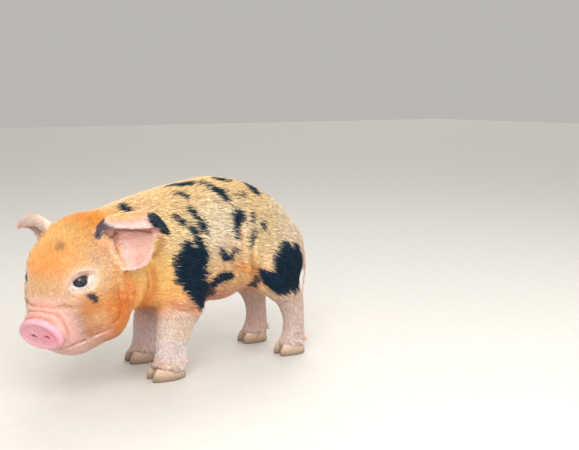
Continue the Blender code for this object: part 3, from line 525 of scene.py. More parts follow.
# Marks of black hair: name, strength, and the places they pass with their widths, in millimetres.
MARKS = (
    ("neck spot", 1, (9.4, -57.2, 161.9, 4), (14.1, -55.4, 159.6, 4.6), (17.7, -53.2, 157.1, 3.2)),
    ("withers streak", 1, (-6, -6, 175, 3), (-3, 5, 176.5, 5.2), (0, 15, 176.5, 5.6)),
    ("second streak", 1, (8.6, -1.5, 170.8, 2.4), (13.2, 1.2, 168.3, 3.8), (16.8, 3.5, 165.7, 3)),
    ("spine dash", 0.8, (1.3, 26.3, 178.4, 2.4), (7, 30.7, 176.7, 2)),
    ("long back mark", 1, (8.7, 27.6, 175.6, 2.6), (13.9, 33.3, 172.9, 3.6), (17.5, 37.7, 170.1, 5.2),
     (22.1, 40.5, 165.7, 5.4), (24.4, 42.4, 162.9, 3)),
    ("spine mark", 1, (-2, 45, 180, 4.6), (1, 51.3, 179, 6.4), (0, 58, 178.5, 3.6)),
    ("croup mark", 1, (-1, 78, 174, 5.6), (5.8, 79.8, 170.3, 6.4), (12.8, 81, 166.5, 6.2)),
    ("small dot", 1, (21.5, 54.5, 165.5, 2.4), (23.5, 56, 163, 2.8)),
    ("second dot", 0.8, (19, 62, 167, 2.6), (21, 63.5, 164.5, 2.8)),
    ("faint dot", 0.45, (23.4, 30.5, 164, 2.2), (25, 31.8, 161, 2.2)),
    ("rump streak", 1, (-2, 100, 162, 2.8), (4.8, 103.6, 158, 2.2)),
    ("rib drop", 1, (30, 49, 154, 3), (32.6, 50, 148, 6), (34.5, 47, 142, 5.6), (36.2, 45, 135, 3.2),
     (37.2, 45.4, 127.3, 1.6)),
    ("thin streak", 1, (30, 65.2, 151.4, 1.8), (32.5, 65.9, 145.9, 2.4), (34.1, 64.8, 140.4, 1.8)),
    ("second thin streak", 1, (35.7, 65, 132.9, 2), (36.6, 62.1, 124.7, 3.6), (36.2, 61.2, 117, 2.6)),
    ("side dot", 1, (33.4, 77.5, 138.3, 3.2), (34.7, 76.7, 133.7, 3.2)),
    ("low rib mark", 1, (37.2, 28.3, 121.4, 2.6), (37, 30.4, 113.6, 3.8), (36.5, 36, 108.5, 3.6),
     (36.6, 42.3, 110, 3.4), (37.3, 43.1, 116.5, 2.8)),
    ("shoulder dot", 1, (26, -11.5, 150.3, 2.8), (29.4, -6.3, 144.8, 3.4)),
    ("slanting streak", 1, (23.7, 1.9, 157.3, 2.4), (28.7, 7.3, 150.1, 3.8), (32.5, 11.4, 141.9, 4.2),
     (34.9, 15.1, 133.5, 2.4)),
    ("shoulder neck", 1, (32, 1.4, 139.9, 3.4), (34.1, 4.3, 132.6, 5.2), (35.5, 7.5, 123.2, 5.6),
     (35.4, 10.5, 111.6, 6)),
    ("shoulder patch", 1, (33.7, -6.8, 127.1, 3.6), (34.5, -3.6, 118, 9), (35, -5.2, 107, 14),
     (35.4, -4.2, 99, 15), (36.3, 1.2, 86.8, 12), (35.7, 6.5, 74.6, 8.5), (33.1, 10.8, 68, 6)),
    ("behind the shoulder", 1, (35, 6, 108.1, 7.5), (32.7, 9, 90.4, 8), (28.7, 15.4, 74.9, 7)),
    ("belly mark", 1, (28.8, 25, 85.2, 5.8), (31.6, 32, 89.7, 6.4), (33.2, 39, 91.9, 4.2)),
    # Black hair of the belly, with painted shade in the armpit behind the elbow.
    ("armpit", 0.9, (26, 19, 78, 7), (20, 24, 73, 8)),
    ("thigh patch", 1, (36.4, 101, 111, 9), (38.5, 100, 101, 14.5), (38.6, 99, 86, 15),
     (36.1, 97.4, 76, 11)),
    ("back of the thigh", 1, (33, 115, 108, 8), (35, 117, 93, 12), (34, 114, 76, 9)),
    ("stifle patch", 1, (31.8, 74.5, 89, 5.6), (34.9, 82, 84, 7.8), (36.6, 90.1, 79, 10)),
    ("groin mark", 0.9, (27.2, 73.1, 81.5, 5.6), (18, 73, 74, 5.6)),
    ("under the eye", 0.9, (56.6, -111, 97.2, 0.9), (56.6, -108, 96.8, 2), (56.4, -104.8, 95.2, 3.4),
     (55.8, -100.8, 92.2, 4.2)),
    ("temple smudge", 0.3, (50.7, -100, 125.2, 2.8), (51.1, -97.6, 123.3, 2.6)),
    ("forehead smudge", 0.35, (36.7, -122.7, 136.3, 3.6), (38.5, -122.6, 134.5, 3.2)),
    ("ear front", 0.9, (40, -87.4, 154.9, 3.8), (41.7, -89.6, 149.1, 4.2), (40.3, -91.2, 143, 3.6)),
    ("ear front fold", 0.8, (44.7, -85.5, 148.3, 3.2), (48, -80, 148.3, 2.6)),
    ("ear tip", 1, (66.5, -55, 160.5, 2.2), (69, -51, 158, 6.4), (71.2, -44, 148, 7.4),
     (71.2, -40, 143, 5.6)),
)
# Marks of the right side, each where it would lie on the left if the trunk were mirrored.
FAR_MARKS = (
    ("shoulder patch", 1, (32, -12, 142, 4), (34.5, -8, 130, 10), (35.2, -4, 116, 15), (35.6, 2, 102, 12),
     (35.8, 6, 88, 7)),
    ("elbow mark", 1, (35, -16, 90, 5), (37, -10, 80, 7), (36, -4, 72, 5.6)),
    ("slanting streak", 1, (20, 6, 164, 3), (27, 11, 156, 4.6), (31, 15, 148, 4)),
    ("rib mark", 1, (27, 33, 160, 3), (32, 36, 150, 6.4), (35, 40, 140, 6), (36.5, 44, 131, 3)),
    ("rib streak", 1, (37.6, 26, 126, 3), (37.4, 31, 116, 4.8), (36.6, 38, 107, 4)),
    ("low mark", 1, (35, 44, 100, 4), (33, 50, 93, 5.6), (30, 56, 88, 4)),
    ("flank drop", 1, (35, 60, 142, 2.8), (36.6, 62, 133, 4.6), (36.8, 61, 125, 3)),
    ("flank dot", 0.9, (36, 77, 124, 3.4), (35.2, 75, 119, 3)),
    ("loin mark", 1, (18, 62, 169, 4), (25, 68, 160, 6.4), (30, 74, 151, 4)),
    ("back mark", 1, (6, 20, 177.5, 3.6), (13, 25, 173.5, 5.4), (18, 30, 169, 3.6)),
    ("rump streak", 1, (15, 96, 159, 3), (22, 101, 151, 5), (28, 104, 142, 3.6)),
    ("thigh patch", 1, (36, 104, 120, 7), (38.5, 103, 105, 13), (38.6, 100, 90, 15), (36.1, 96, 78, 10)),
    ("stifle mark", 1, (33, 78, 92, 5), (35, 84, 85, 7)),
    ("neck spot", 1, (20, -48, 154, 4), (25, -44, 147, 5), (28, -40, 140, 3.6)),
    ("neck streak", 0.9, (30, -36, 124, 3.4), (33, -31, 115, 4.4)),
)
MARK_EDGE = 0.0011
HEAD_LINE = -45
# Washes of another tone over the coat and skin of both sides: name, colour, strength, and places
# with widths. Those with a place before HEAD_LINE are mirrored about the head, others the trunk.
WASHES = (
    ("front rim of the ear", "#f3cdb0", 0.85, (40, -82, 136, 3), (41.5, -78.7, 127.5, 4.6),
     (42.3, -74.8, 118.5, 4.6), (41.7, -68.4, 112.4, 3.4)),
    ("lobe", "#f4ad80", 0.7, (40.3, -90.3, 138.8, 3), (42.5, -86.9, 133.6, 4.4)),
    ("flank", "#e0812e", 0.55, (34.8, 46.5, 101, 5), (31.1, 59.6, 94.1, 6), (24.8, 65.5, 82.4, 5)),
    ("groin", "#e6ab98", 0.6, (20, 48, 69, 8), (22, 62, 74, 8)),
    ("fold before the hip", "#dcb89c", 0.6, (34.5, 80, 118, 4), (34, 75, 100, 6), (30, 72, 88, 5)),
    ("brow", "#f8bd78", 0.4, (48, -124, 121, 4), (53, -108, 122, 4)),
    # Painted shadow: a dark orange streak on the neck where the ear shades it.
    ("behind the ear", "#a85a1e", 0.6, (30.1, -31.5, 135.3, 2.4), (32.2, -34.7, 126, 3.4),
     (33.2, -39.2, 116.7, 3)),
    ("white of the lobe", "#f1d3c0", 0.8, (37.5, -88.3, 141.6, 2.2), (40, -86.7, 137.5, 3)),
)
# Washes on the ears alone, over their pink.
EAR_WASHES = (
    ("coat on the back", "#f0bf80", 0.92, (46.6, -83.3, 157.5, 3.4), (53.1, -74.8, 159.2, 4.2),
     (59.8, -65.5, 161, 4.2), (64, -58, 162.2, 3)),
    # A pale band along the rolled rim: its pale skin, with a painted highlight where the rim catches the
    # light.
    ("pale rim", "#f4e0dd", 0.75, (47.1, -83.6, 152.5, 1.4), (50.5, -77.9, 150.8, 2.2),
     (54.1, -72.3, 149.9, 2.4), (58.3, -66.1, 149.8, 2.6), (62.9, -59.9, 151.5, 3.4)),
    # Painted shadow: a dark red-brown line where the rolled rim shades the cup below it.
    ("line under the rim", "#a9451f", 0.8, (38.1, -75.8, 145.7, 1.5), (44.3, -63, 145, 1.2),
     (49.2, -55.9, 144.6, 1.2), (56.6, -50, 144.2, 1.5)),
    ("first vein", "#e0795c", 0.5, (35.8, -71.6, 137.2, 1), (39.7, -64.9, 138, 1),
     (44.2, -58.5, 137.6, 0.7)),
    ("pale vein", "#f8e2da", 0.6, (39.4, -64.4, 134.4, 1.2), (39.5, -64.3, 125.7, 1.3),
     (41.8, -64.6, 117.3, 1)),
    ("edge at the cheek", "#f3d6bc", 0.6, (36.3, -72, 131.2, 3), (38.5, -71.2, 124.5, 3.2),
     (38.9, -68.9, 118.1, 3)),
    ("pink of the cup", "#ec9c94", 0.5, (47, -56, 123, 4), (46, -58, 117, 4)),
)


def tone(code):
    """An sRGB hex colour as linear red, green and blue."""
    value = np.array([int(code[k : k + 2], 16) for k in (1, 3, 5)]) / 255
    return np.where(value <= 0.04045, value / 12.92, ((value + 0.055) / 1.055) ** 2.4)


def mixed(first, second, share):
    return first + (second - first) * np.reshape(share, (-1, 1))


def glazed(colours, *layers):
    """The colours under layers of paint, each a hex code and the share that it covers."""
    for code, share in layers:
        colours = mixed(colours, tone(code), share)
    return colours


def blended(points, tones):
    """The tones near each point, the nearer the stronger."""
    total, weight = np.zeros((len(points), 3)), np.full(len(points), 1e-9)
    for _, place, carries, code in tones:
        far = np.sum((points - metres(place)) ** 2, axis=1) / metres(carries) ** 2
        share = np.exp(-far) + 1e-5 / (1e-4 + far)
        total += share[:, None] * tone(code)
        weight += share
    return total / weight[:, None]


def rippled(points, size, seed):
    """A smooth wandering number between -1 and 1, of about this size in metres."""
    draw = np.random.default_rng(seed)
    total = np.zeros(len(points))
    for _ in range(6):
        turn = draw.normal(size=3)
        turn *= math.tau / size / np.linalg.norm(turn) * draw.uniform(0.7, 1.4)
        total += np.sin(points @ turn + draw.uniform(0, math.tau))
    return total / 3.2


def marked(points):
    """How black each point is, with edges that wander."""
    black = np.zeros(len(points))
    wander = MARK_EDGE * rippled(points, 0.011, 1) + 0.0006 * rippled(points, 0.0045, 2)
    on_right = points[:, 0] < TRUNK_MIDDLE
    for marks, where, there in ((MARKS, points, 1), (FAR_MARKS, on_left(points), on_right)):
        for _, strength, *stops in marks:
            distance, width = off_path(where, stops)
            mark = strength * ramp(distance + wander, width + MARK_EDGE, width - MARK_EDGE)
            black = np.maximum(black, mark * there)
    return black


def washed(points, colours, washes, there=1):
    """Lays washes over the colours, on both sides alike."""
    mirrored_head, mirrored_trunk = from_head(left_of_head(points)), on_left(points)
    for _, code, strength, *stops in washes:
        on_head = stops[0][1] < HEAD_LINE
        distance, width = off_path(mirrored_head if on_head else mirrored_trunk, stops)
        colours = glazed(colours, (code, strength * bell(distance, width) * there))
    return colours


def coat_tone(points, head):
    """Hair colour at each point, before marks and before it differs from hair to hair."""
    on_head, on_body = blended(left_of_head(points), HEAD_TONES), blended(on_left(points), BODY_TONES)
    return washed(points, mixed(on_body, on_head, head), WASHES)


def paint(thing, name, colours):
    """Writes a colour for each point as an attribute that materials read."""
    layer = thing.data.color_attributes.new(name, "FLOAT_COLOR", "POINT")
    rows = np.hstack((colours, np.ones((len(colours), 1))))
    layer.data.foreach_set("color", rows.astype(np.float32).ravel())


FOLD_SHADE = np.array((0.14, 0.34, 0.48))  # painted shade in folds: how much redder and darker a fold is painted
black = marked(points)
skin_tone = glazed(
    coat_tone(points, head),
    ("#f2b3a8", 0.42 - 0.17 * head),
    ("#efc9c0", 0.75 * np.maximum.reduce((lip, foot, tail))),
    ("#e3a79e", 0.8 * muzzle),
    ("#dfa3ad", disc),
    ("#d98f88", 0.6 * belly),
    ("#f2b9b4", 0.9 * ear * (x > 0) * (aside > 0)),
    ("#ecd3c4", 0.8 * ear * (aside < 0)),
)
skin_tone = washed(points, skin_tone, EAR_WASHES, ear)
blush = np.exp(-(((aside - 0.0120) / 0.0075) ** 2) - ((above - 0.0010) / 0.0060) ** 2)
risen = []
for middle, axes in EYES.values():
    off = points - middle
    risen.append(off @ axes[:, 2] - 99 * (lengths(off) > 0.02))
rising = np.max(risen, axis=0)  # how high above the middle of the nearer eye
skin_tone = glazed(
    skin_tone,
    ("#ef7f98", 0.55 * disc * blush),
    # Painted shade deep in the nostrils, in dark red.
    ("#6e3038", 0.9 * ramp(nostril, 0.35, 0.95)),
    # Painted shade along the groove of the mouth.
    ("#a5604f", 0.5 * mouth),
    # Painted shade in the ear hole, dark red-brown.
    ("#5e2413", 0.95 * ramp(off_hole, 0.0030, 0.0014)),
    ("#283744", 0.93 * black),
    ("#ecd9d6", 0.7 * ramp(spread, 2.6, 1.5)),
    ("#c0603c", 0.85 * ramp(spread, 1.9, 1.2) * ramp(rising, 0.0005, 0.0030)),
    # A dark line on the rim of the upper lid: its dark lash line, with painted shade under the lid.
    ("#3a1c14", 0.9 * ramp(spread, 1.22, 1.06) * ramp(rising, -0.0015, 0.0010)),
    ("#cfdadd", 0.8 * ramp(spread, 1.34, 1.12) * ramp(rising, -0.0005, -0.0025)),
)
# Painted shade: skin in a fold, except on the ears, is painted redder and darker, the more the deeper the
# crease.
skin_tone = skin_tone * (1 - np.outer(creased * (1 - ear), FOLD_SHADE))
mottle = 1 + 0.05 * rippled(points, 0.007, 5) + 0.04 * rippled(points, 0.0028, 6)
paint(skin, "Tone", np.clip(skin_tone * mottle[:, None], 0, 1))


# Skin of a young pig: thin, soft and slightly moist, with fine pores and short lines, so it
# scatters light and shines a little. The tone comes from the painted points.
def add(tree, kind, links=(), **settings):
    """Adds a node, sets its values and links its sockets to others."""
    made = tree.nodes.new("ShaderNode" + kind)
    for key, value in settings.items():
        if hasattr(made, key):
            setattr(made, key, value)
        else:
            made.inputs[key.replace("_", " ")].default_value = value
    for source, socket in links:
        tree.links.new(source, made.inputs[socket])
    return made


def new_material(name, **settings):
    """A material with these settings of its shader, its tree, its shader and the object's own space."""
    made = bpy.data.materials.new(name)
    made.use_nodes = True
    tree = made.node_tree
    shader = tree.nodes["Principled BSDF"]
    for key, value in settings.items():
        shader.inputs[key.replace("_", " ")].default_value = value
    return made, tree, shader, (add(tree, "TexCoord").outputs["Object"], "Vector")


# Pores lie 1.1 mm apart, short lines 2.4 mm and blotches 8 mm. The pores and lines are coarser
# than real ones, so that they show.
PORES, LINES, BLOTCHES = 900, 420, 130  # to the metre
skin_finish, tree, shader, where = new_material(
    "pig skin, bare or thinly haired",
    IOR=1.4,
    Subsurface_Weight=0.12,
    Subsurface_Radius=(1.0, 0.35, 0.2),
    Subsurface_Scale=0.0015,
)
painted = add(tree, "Attribute", attribute_name="Tone")
pores = add(tree, "TexVoronoi", [where], Scale=PORES)
lines = add(tree, "TexNoise", [where], Scale=LINES, Detail=3)
blotches = add(tree, "TexNoise", [where], Scale=BLOTCHES, Detail=4)
tint = add(tree, "MapRange", [(blotches.outputs["Fac"], "Value")], To_Min=0.86, To_Max=1.12)
sources = [(painted.outputs["Color"], 0), (tint.outputs["Result"], 1)]
toned = add(tree, "VectorMath", sources, operation="MULTIPLY")
tree.links.new(toned.outputs["Vector"], shader.inputs["Base Color"])
sources = [(pores.outputs["Distance"], 0), (lines.outputs["Fac"], 1)]
relief = add(tree, "Math", sources, operation="ADD")
bump = add(tree, "Bump", [(relief.outputs["Value"], "Height")], Strength=0.25, Distance=0.0004)
tree.links.new(bump.outputs["Normal"], shader.inputs["Normal"])
shine = add(tree, "MapRange", [(lines.outputs["Fac"], "Value")], To_Min=0.42, To_Max=0.62)
tree.links.new(shine.outputs["Result"], shader.inputs["Roughness"])
skin.data.materials.append(skin_finish)
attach(skin, "root")
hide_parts(*flesh_nodes)

# The eyes: a wet ball each, with a dark slate iris, a round pupil and a little white at the
# corners. Each is a sphere drawn out a little in front, and it sits within its lids.
EYE_SEGMENTS, EYE_RINGS, BULGE = 48, 32, 0.06
PUPIL, IRIS = math.radians(24), math.radians(68)
# A living eye is smooth under its film of tears, so it gives small sharp highlights.
TEAR_FILM = 300  # ripples to the metre, coarse enough to show
eye_finish, tree, shader, where = new_material(
    "wet eye", Roughness=0.06, IOR=1.376, Coat_Weight=0.5, Coat_Roughness=0.02
)
painted = add(tree, "Attribute", attribute_name="Tone")
tree.links.new(painted.outputs["Color"], shader.inputs["Base Color"])
film = add(tree, "TexNoise", [where], Scale=TEAR_FILM, Detail=2)
wet = add(tree, "Bump", [(film.outputs["Fac"], "Height")], Strength=0.05, Distance=0.0001)
tree.links.new(wet.outputs["Normal"], shader.inputs["Normal"])
for hand, (middle, axes) in EYES.items():
    bpy.ops.object.select_all(action="DESELECT")
    bpy.ops.mesh.primitive_uv_sphere_add(segments=EYE_SEGMENTS, ring_count=EYE_RINGS, radius=EYEBALL - 0.0002)
    ball = bpy.context.object
    ball.name = ball.data.name = "eyeball_" + hand
    shape = points_of(ball)
    away = np.arccos(np.clip(shape[:, 2] / lengths(shape), -1, 1))
    around = np.arctan2(shape[:, 1], shape[:, 0])
    put_points(ball, shape * (1 + BULGE * ramp(away, IRIS * 1.05, 0))[:, None])
    streaks = 0.5 + 0.5 * np.sin(around * 23 + 2 * np.sin(around * 5))
    colour = glazed(
        tone("#131b22"),
        ("#2b3d4a", 0.6 * streaks),
        ("#3c2a20", 0.5 * ramp(away, PUPIL * 1.7, PUPIL)),
        ("#05060a", ramp(away, PUPIL * 1.12, PUPIL)),
        ("#0e1216", ramp(away, IRIS * 0.80, IRIS * 0.95)),
        ("#8a7e7c", ramp(away, IRIS, IRIS * 1.08)),
    )
    paint(ball, "Tone", colour)
    looks, along, over = axes.T
    along = along * np.sign(np.cross(along, over) @ looks)
    turn = Matrix(np.stack((along, over, looks), axis=1).tolist()).to_4x4()
    ball.data.transform(Matrix.Translation(middle) @ turn)
    ball.data.shade_smooth()
    ball.data.materials.append(eye_finish)
    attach(ball, "root")
    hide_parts("eye_" + hand)

# Hooves and dewclaws: a cloven foot of two rounded claws and two small ones behind, in pale young
# horn with fine growth rings. Each is a copy of its solid, swollen up to the skin and softened.
HORN_GROWTH, HORN_VOXEL, HORN_ROUNDS, HORN_SOFTNESS = 0.00045, 0.00065, 8, 0.5
# Young horn is dense and smooth, so it shines softly, and it is darker where it meets the ground.
HORN_TOP = 0.013  # where its colour is palest
HORN_RINGS, HORN_GRAIN = 150, 330  # rings 2 mm apart and grain of 3 mm, coarse enough to show
horn, tree, shader, where = new_material("young hoof horn", Roughness=0.38, IOR=1.54)
split = add(tree, "SeparateXYZ", [where])
rings = add(tree, "TexWave", [where], bands_direction="Z", Scale=HORN_RINGS, Distortion=6.0)
grain = add(tree, "TexNoise", [where], Scale=HORN_GRAIN, Detail=5)
level = add(tree, "MapRange", [(split.outputs["Z"], "Value")], From_Max=HORN_TOP)
ramped = add(tree, "ValToRGB", [(level.outputs["Result"], "Fac")])
ramped.color_ramp.elements.new(0.55)
for stop, code in zip(ramped.color_ramp.elements, ("#7c6856", "#c2a58b", "#dcbdaa")):
    stop.color = (*tone(code), 1)
varied = add(tree, "MapRange", [(grain.outputs["Fac"], "Value")], To_Min=0.62, To_Max=1.22)
sources = [(ramped.outputs["Color"], 0), (varied.outputs["Result"], 1)]
toned = add(tree, "VectorMath", sources, operation="MULTIPLY")
banded = add(tree, "MapRange", [(rings.outputs["Fac"], "Value")], To_Min=0.93, To_Max=1.04)
sources = [(toned.outputs["Vector"], 0), (banded.outputs["Result"], 1)]
dark = add(tree, "VectorMath", sources, operation="MULTIPLY")
tree.links.new(dark.outputs["Vector"], shader.inputs["Base Color"])
relief = add(tree, "Math", [(rings.outputs["Fac"], 0), (grain.outputs["Fac"], 1)], operation="ADD")
bump = add(tree, "Bump", [(relief.outputs["Value"], "Height")], Strength=0.22, Distance=0.0003)
tree.links.new(bump.outputs["Normal"], shader.inputs["Normal"])
for name in [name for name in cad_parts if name.startswith(("hoof", "dewclaw"))]:
    claw = copied_solid(name, HORN_GROWTH)
    claw.name = claw.data.name = "horn_" + name
    claw.data.materials.clear()
    finished(claw, "REMESH", mode="VOXEL", voxel_size=HORN_VOXEL)
    shape = relaxed(points_of(claw), edges_of(claw), HORN_SOFTNESS, HORN_ROUNDS)
    shape[:, 2] = np.maximum(shape[:, 2], 0)
    put_points(claw, shape)
    claw.data.shade_smooth()
    claw.data.materials.append(horn)
    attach(claw, "root")
    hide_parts(name)

# The coat: short soft hair in fine tufts that lie along the body from snout to tail. Each tuft is
# a slender three-sided blade, bent along the skin. It takes its tone where it is rooted, and its
# black where its middle lies over a mark.
COAT_PIECES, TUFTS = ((7, 147000))
BODY_LONG = 0.0098
WIDE_LEAST, WIDE_GROWS = 0.00030, 0.039
STRAYS, TWIST, WAVING = 0.0007, 0.16, 0.16
LIGHT_SHARE, LIGHTER = 0.25, (0.26, 0.28, 0.30)  # how many hairs are lighter, and by how much
BLACK_HAIR = tone("#12293a")
side = np.sign(x - TRUNK_MIDDLE)
flank = np.clip(np.abs(x - TRUNK_MIDDLE) / 0.045, 0, 1)
lie = np.stack((0.10 * side * flank, np.ones(len(points)), -0.38 * flank), axis=1)
lie += np.outer(ramp(y, 0.080, 0.125) * ramp(z, 0.150, 0.110), (0, -0.5, -0.9))
down = np.stack((0 * z, 0.16 - 0.30 * ramp(z, 0.034, 0.018), 0 * z - 1), axis=1)
lie = mixed(lie, down, leg)
lie_on_head = 0.10 * HEAD_UP - FORWARD - 0.25 * np.outer(ramp(above, 0.005, -0.020), HEAD_UP)
lie_on_head += 0.15 * np.outer(np.clip(aside / 0.04, -1, 1), LEFTWARD)
lie = mixed(lie, lie_on_head, head)
for sign in (1, -1):
    runs = HEAD_AXES @ unit(np.array((-0.38, 0.92 * sign, -0.10)))
    lie = mixed(lie, runs, ear * (np.sign(aside) == sign))
lie = mixed(lie, (0, 0, -1), tail)
wave = np.stack([rippled(points, 0.035, 11 + k) for k in range(3)], axis=1)
lie = unit(lie) + WAVING * wave
lie = unit(lie - normals * np.sum(lie * normals, axis=1, keepdims=True))

length = moved(
    BODY_LONG - 0.0041 * head - 0.0046 * leg - 0.0012 * foot,
    (0.0022, muzzle),
    (0.0028, lip * muzzle),
    (0.0040, ramp(ahead, -0.055, -0.030) * head * (1 - muzzle)),
    (0.0034, ear),
    (0.0060, tail),
)
length = length * (1 - 0.55 * ramp(spread, 2.6, 1.2)) + 0.0032 * ramp(z, 0.020, 0.013)
thick = 1.0 + 0.9 * head + 0.4 * leg
thick = thick * (1 - 0.55 * muzzle) * (1 - 0.5 * lip) * (1 - disc) * (1 - 0.45 * belly) * (1 - 0.55 * ear)
thick = (thick * ramp(spread, 1.12, 1.50) + 0.9 * black * ear) * ramp(off_hole, 0.0015, 0.0032)
distance, width = off_path(from_head(half_head), EAR_WASHES[0][3:])
furred = ear * bell(distance, width)
thick, length = thick + 0.9 * furred, moved(length, (0.0042, furred))
facing_down = -normals[:, 2]
thick = thick * (1 - foot * ramp(facing_down, 0.30, 0.55)) * (1 + 0.5 * foot)
thick = thick * ~((facing_down > 0.75) & (z < 0.016))

skin.data.calc_loop_triangles()
triangles = numbers(skin.data.loop_triangles, "vertices", 3, np.int32)
corners = points[triangles]
areas = lengths(np.cross(corners[:, 1] - corners[:, 0], corners[:, 2] - corners[:, 0])) / 2
reach = np.cumsum(areas * thick[triangles].mean(axis=1))
draw = np.random.default_rng(7)
picked = np.searchsorted(reach, (np.arange(TUFTS) + draw.random(TUFTS)) / TUFTS * reach[-1])
picked = np.minimum(picked, len(triangles) - 1)
first, second = draw.random(TUFTS), draw.random(TUFTS)
flip = first + second > 1
first[flip], second[flip] = 1 - first[flip], 1 - second[flip]
shares = np.stack((1 - first - second, first, second), axis=1)


def at_roots(values):
    """The value at each tuft's root, between those of its three points."""
    corner_values = values[triangles[picked]]
    if values.ndim == 1:
        return np.sum(corner_values * shares, axis=1)
    return np.sum(corner_values * shares[:, :, None], axis=1)


root, up, run = at_roots(points), unit(at_roots(normals)), at_roots(lie)
long = at_roots(length) * draw.uniform(0.65, 1.25, TUFTS)
twist = draw.normal(0, TWIST, TUFTS)
across = unit(np.cross(up, run))
run = unit(run - up * np.sum(run * up, axis=1, keepdims=True))
run = run * np.cos(twist)[:, None] + across * np.sin(twist)[:, None]
across = np.cross(up, run)
wide = WIDE_LEAST + WIDE_GROWS * long
lift = long * draw.uniform(0.10, 0.22, TUFTS)
seen_at = root + run * (long * draw.normal(0.42, 0.16, TUFTS))[:, None]
seen_at = seen_at + across * (STRAYS * draw.normal(size=TUFTS))[:, None]
root_ear = at_roots(ear)
hair = glazed(
    coat_tone(root, at_roots(head)),
    ("#f3d9cb", 0.45 * at_roots(np.maximum.reduce((muzzle, lip, foot, tail)))),
    ("#f3dbd4", 0.8 * root_ear),
)
hair = washed(root, hair, EAR_WASHES, root_ear)
hair = glazed(hair, ("#f1e4e0", 0.65 * ramp(at_roots(np.minimum(spread, 9)), 2.6, 1.4)))
along_coat = np.stack((root[:, 0], 0.25 * root[:, 1], root[:, 2] + 0.35 * root[:, 1]), axis=1)
clump = 1 + 0.05 * rippled(root, 0.0065, 21) + 0.03 * rippled(root, 0.0030, 22)
clump = clump + 0.06 * rippled(along_coat, 0.0042, 23)
hair = hair * (draw.normal(1.0, 0.07, TUFTS) * clump)[:, None] * (1 + 0.02 * draw.normal(size=(TUFTS, 3)))
# Painted shade: hair rooted in a fold is painted redder and darker.
hair = hair * (1 - np.outer(at_roots(creased), FOLD_SHADE))
hair = hair * (1 + np.outer(draw.random(TUFTS) < LIGHT_SHARE, LIGHTER))
soot = marked(seen_at)
hair = mixed(hair, BLACK_HAIR * draw.uniform(0.6, 1.9, TUFTS)[:, None], soot)
hair = np.clip(hair, 0.002, 1)

# Pale lashes on the upper lids, finer than the tufts round them and nearly as long as body hair.
# They fan out along the rim of the lid, and are grown with the coat.
LASHES, LASH_LONG, LASH_WIDE, LASH_LIFT = 52, 0.0080, 0.00020, 0.0009
for middle, axes in EYES.values():
    angle = np.radians(np.linspace(12, 168, LASHES) + draw.uniform(-2, 2, LASHES))
    along = EYE_HALF[0] * 1.12 * np.cos(angle)
    over = EYE_HALF[1] * 1.14 * np.sin(angle)
    out = np.sqrt(np.maximum(EYEBALL**2 - along**2 - over**2, 1e-6)) + LID_THICK
    points_out = np.stack((np.full(LASHES, 0.75), 0.8 * np.cos(angle) + 0.2, 0.6 * np.sin(angle)), axis=1)
    points_out = unit(points_out + draw.normal(0, 0.10, (LASHES, 3)))
    lash_run = points_out @ axes.T
    lash_up = unit(axes[:, 2] - lash_run * (lash_run @ axes[:, 2])[:, None])
    root = np.vstack((root, np.stack((out, along, over), axis=1) @ axes.T + middle))
    run, up = np.vstack((run, lash_run)), np.vstack((up, lash_up))
    across = np.vstack((across, np.cross(lash_up, lash_run)))
    long = np.append(long, LASH_LONG * draw.uniform(0.6, 1.15, LASHES))
    wide, lift = np.append(wide, np.full(LASHES, LASH_WIDE)), np.append(lift, np.full(LASHES, LASH_LIFT))
    hair = np.vstack((hair, tone("#f2dfcf") * draw.uniform(0.75, 1.0, (LASHES, 1))))
TUFTS = len(root)

# An unwrap of the skin's own shape, for the place of each tuft on the map that its colours are
# baked to.
UNWRAP_FACES, PATCH = 6000, 0.003
plan = added("plan", skin.data.copy())
finished(plan, "DECIMATE", ratio=UNWRAP_FACES / len(triangles), use_collapse_triangulate=True)
only(plan)
bpy.ops.object.mode_set(mode="EDIT")
bpy.ops.mesh.select_all(action="SELECT")
bpy.ops.uv.smart_project(angle_limit=math.radians(66), island_margin=0.004)
bpy.ops.object.mode_set(mode="OBJECT")
plan_points = points_of(plan)
plan_faces = np.array([face.vertices[:] for face in plan.data.polygons])
flat = numbers(plan.data.uv_layers.active.data, "uv", 2, np.float32).reshape(-1, 3, 2)
plan_tree = BVHTree.FromPolygons(plan_points.tolist(), plan_faces.tolist())
spot = np.empty((TUFTS, 2))
for k, place in enumerate(root.tolist()):
    hit, _, face, _ = plan_tree.find_nearest(place)
    a, b, c = plan_points[plan_faces[face]]
    e1, e2, e3 = b - a, c - a, np.array(hit) - a
    d11, d12, d22, d31, d32 = e1 @ e1, e1 @ e2, e2 @ e2, e3 @ e1, e3 @ e2
    under = max(d11 * d22 - d12 * d12, 1e-18)
    v, w = (d22 * d31 - d12 * d32) / under, (d11 * d32 - d12 * d31) / under
    spot[k] = flat[face][0] * (1 - v - w) + flat[face][1] * v + flat[face][2] * w
bpy.data.objects.remove(plan, do_unlink=True)
spot = np.clip(spot, PATCH, 1 - PATCH)

# Hair of a young pig is fine and soft, so it is matt and shines little, and one strand is a
# little lighter than the next.
STRANDS = 700  # to the metre, coarser than real ones, so that they show
hair_finish, tree, shader, where = new_material(
    "soft piglet hair", Roughness=0.5, IOR=1.55, Specular_IOR_Level=0.15
)
painted = add(tree, "Attribute", attribute_name="Tone")
strands = add(tree, "TexNoise", [where], Scale=STRANDS, Detail=2)
light = add(tree, "MapRange", [(strands.outputs["Fac"], "Value")], To_Min=0.88, To_Max=1.12)
sources = [(painted.outputs["Color"], 0), (light.outputs["Result"], 1)]
toned = add(tree, "VectorMath", sources, operation="MULTIPLY")
tree.links.new(toned.outputs["Vector"], shader.inputs["Base Color"])

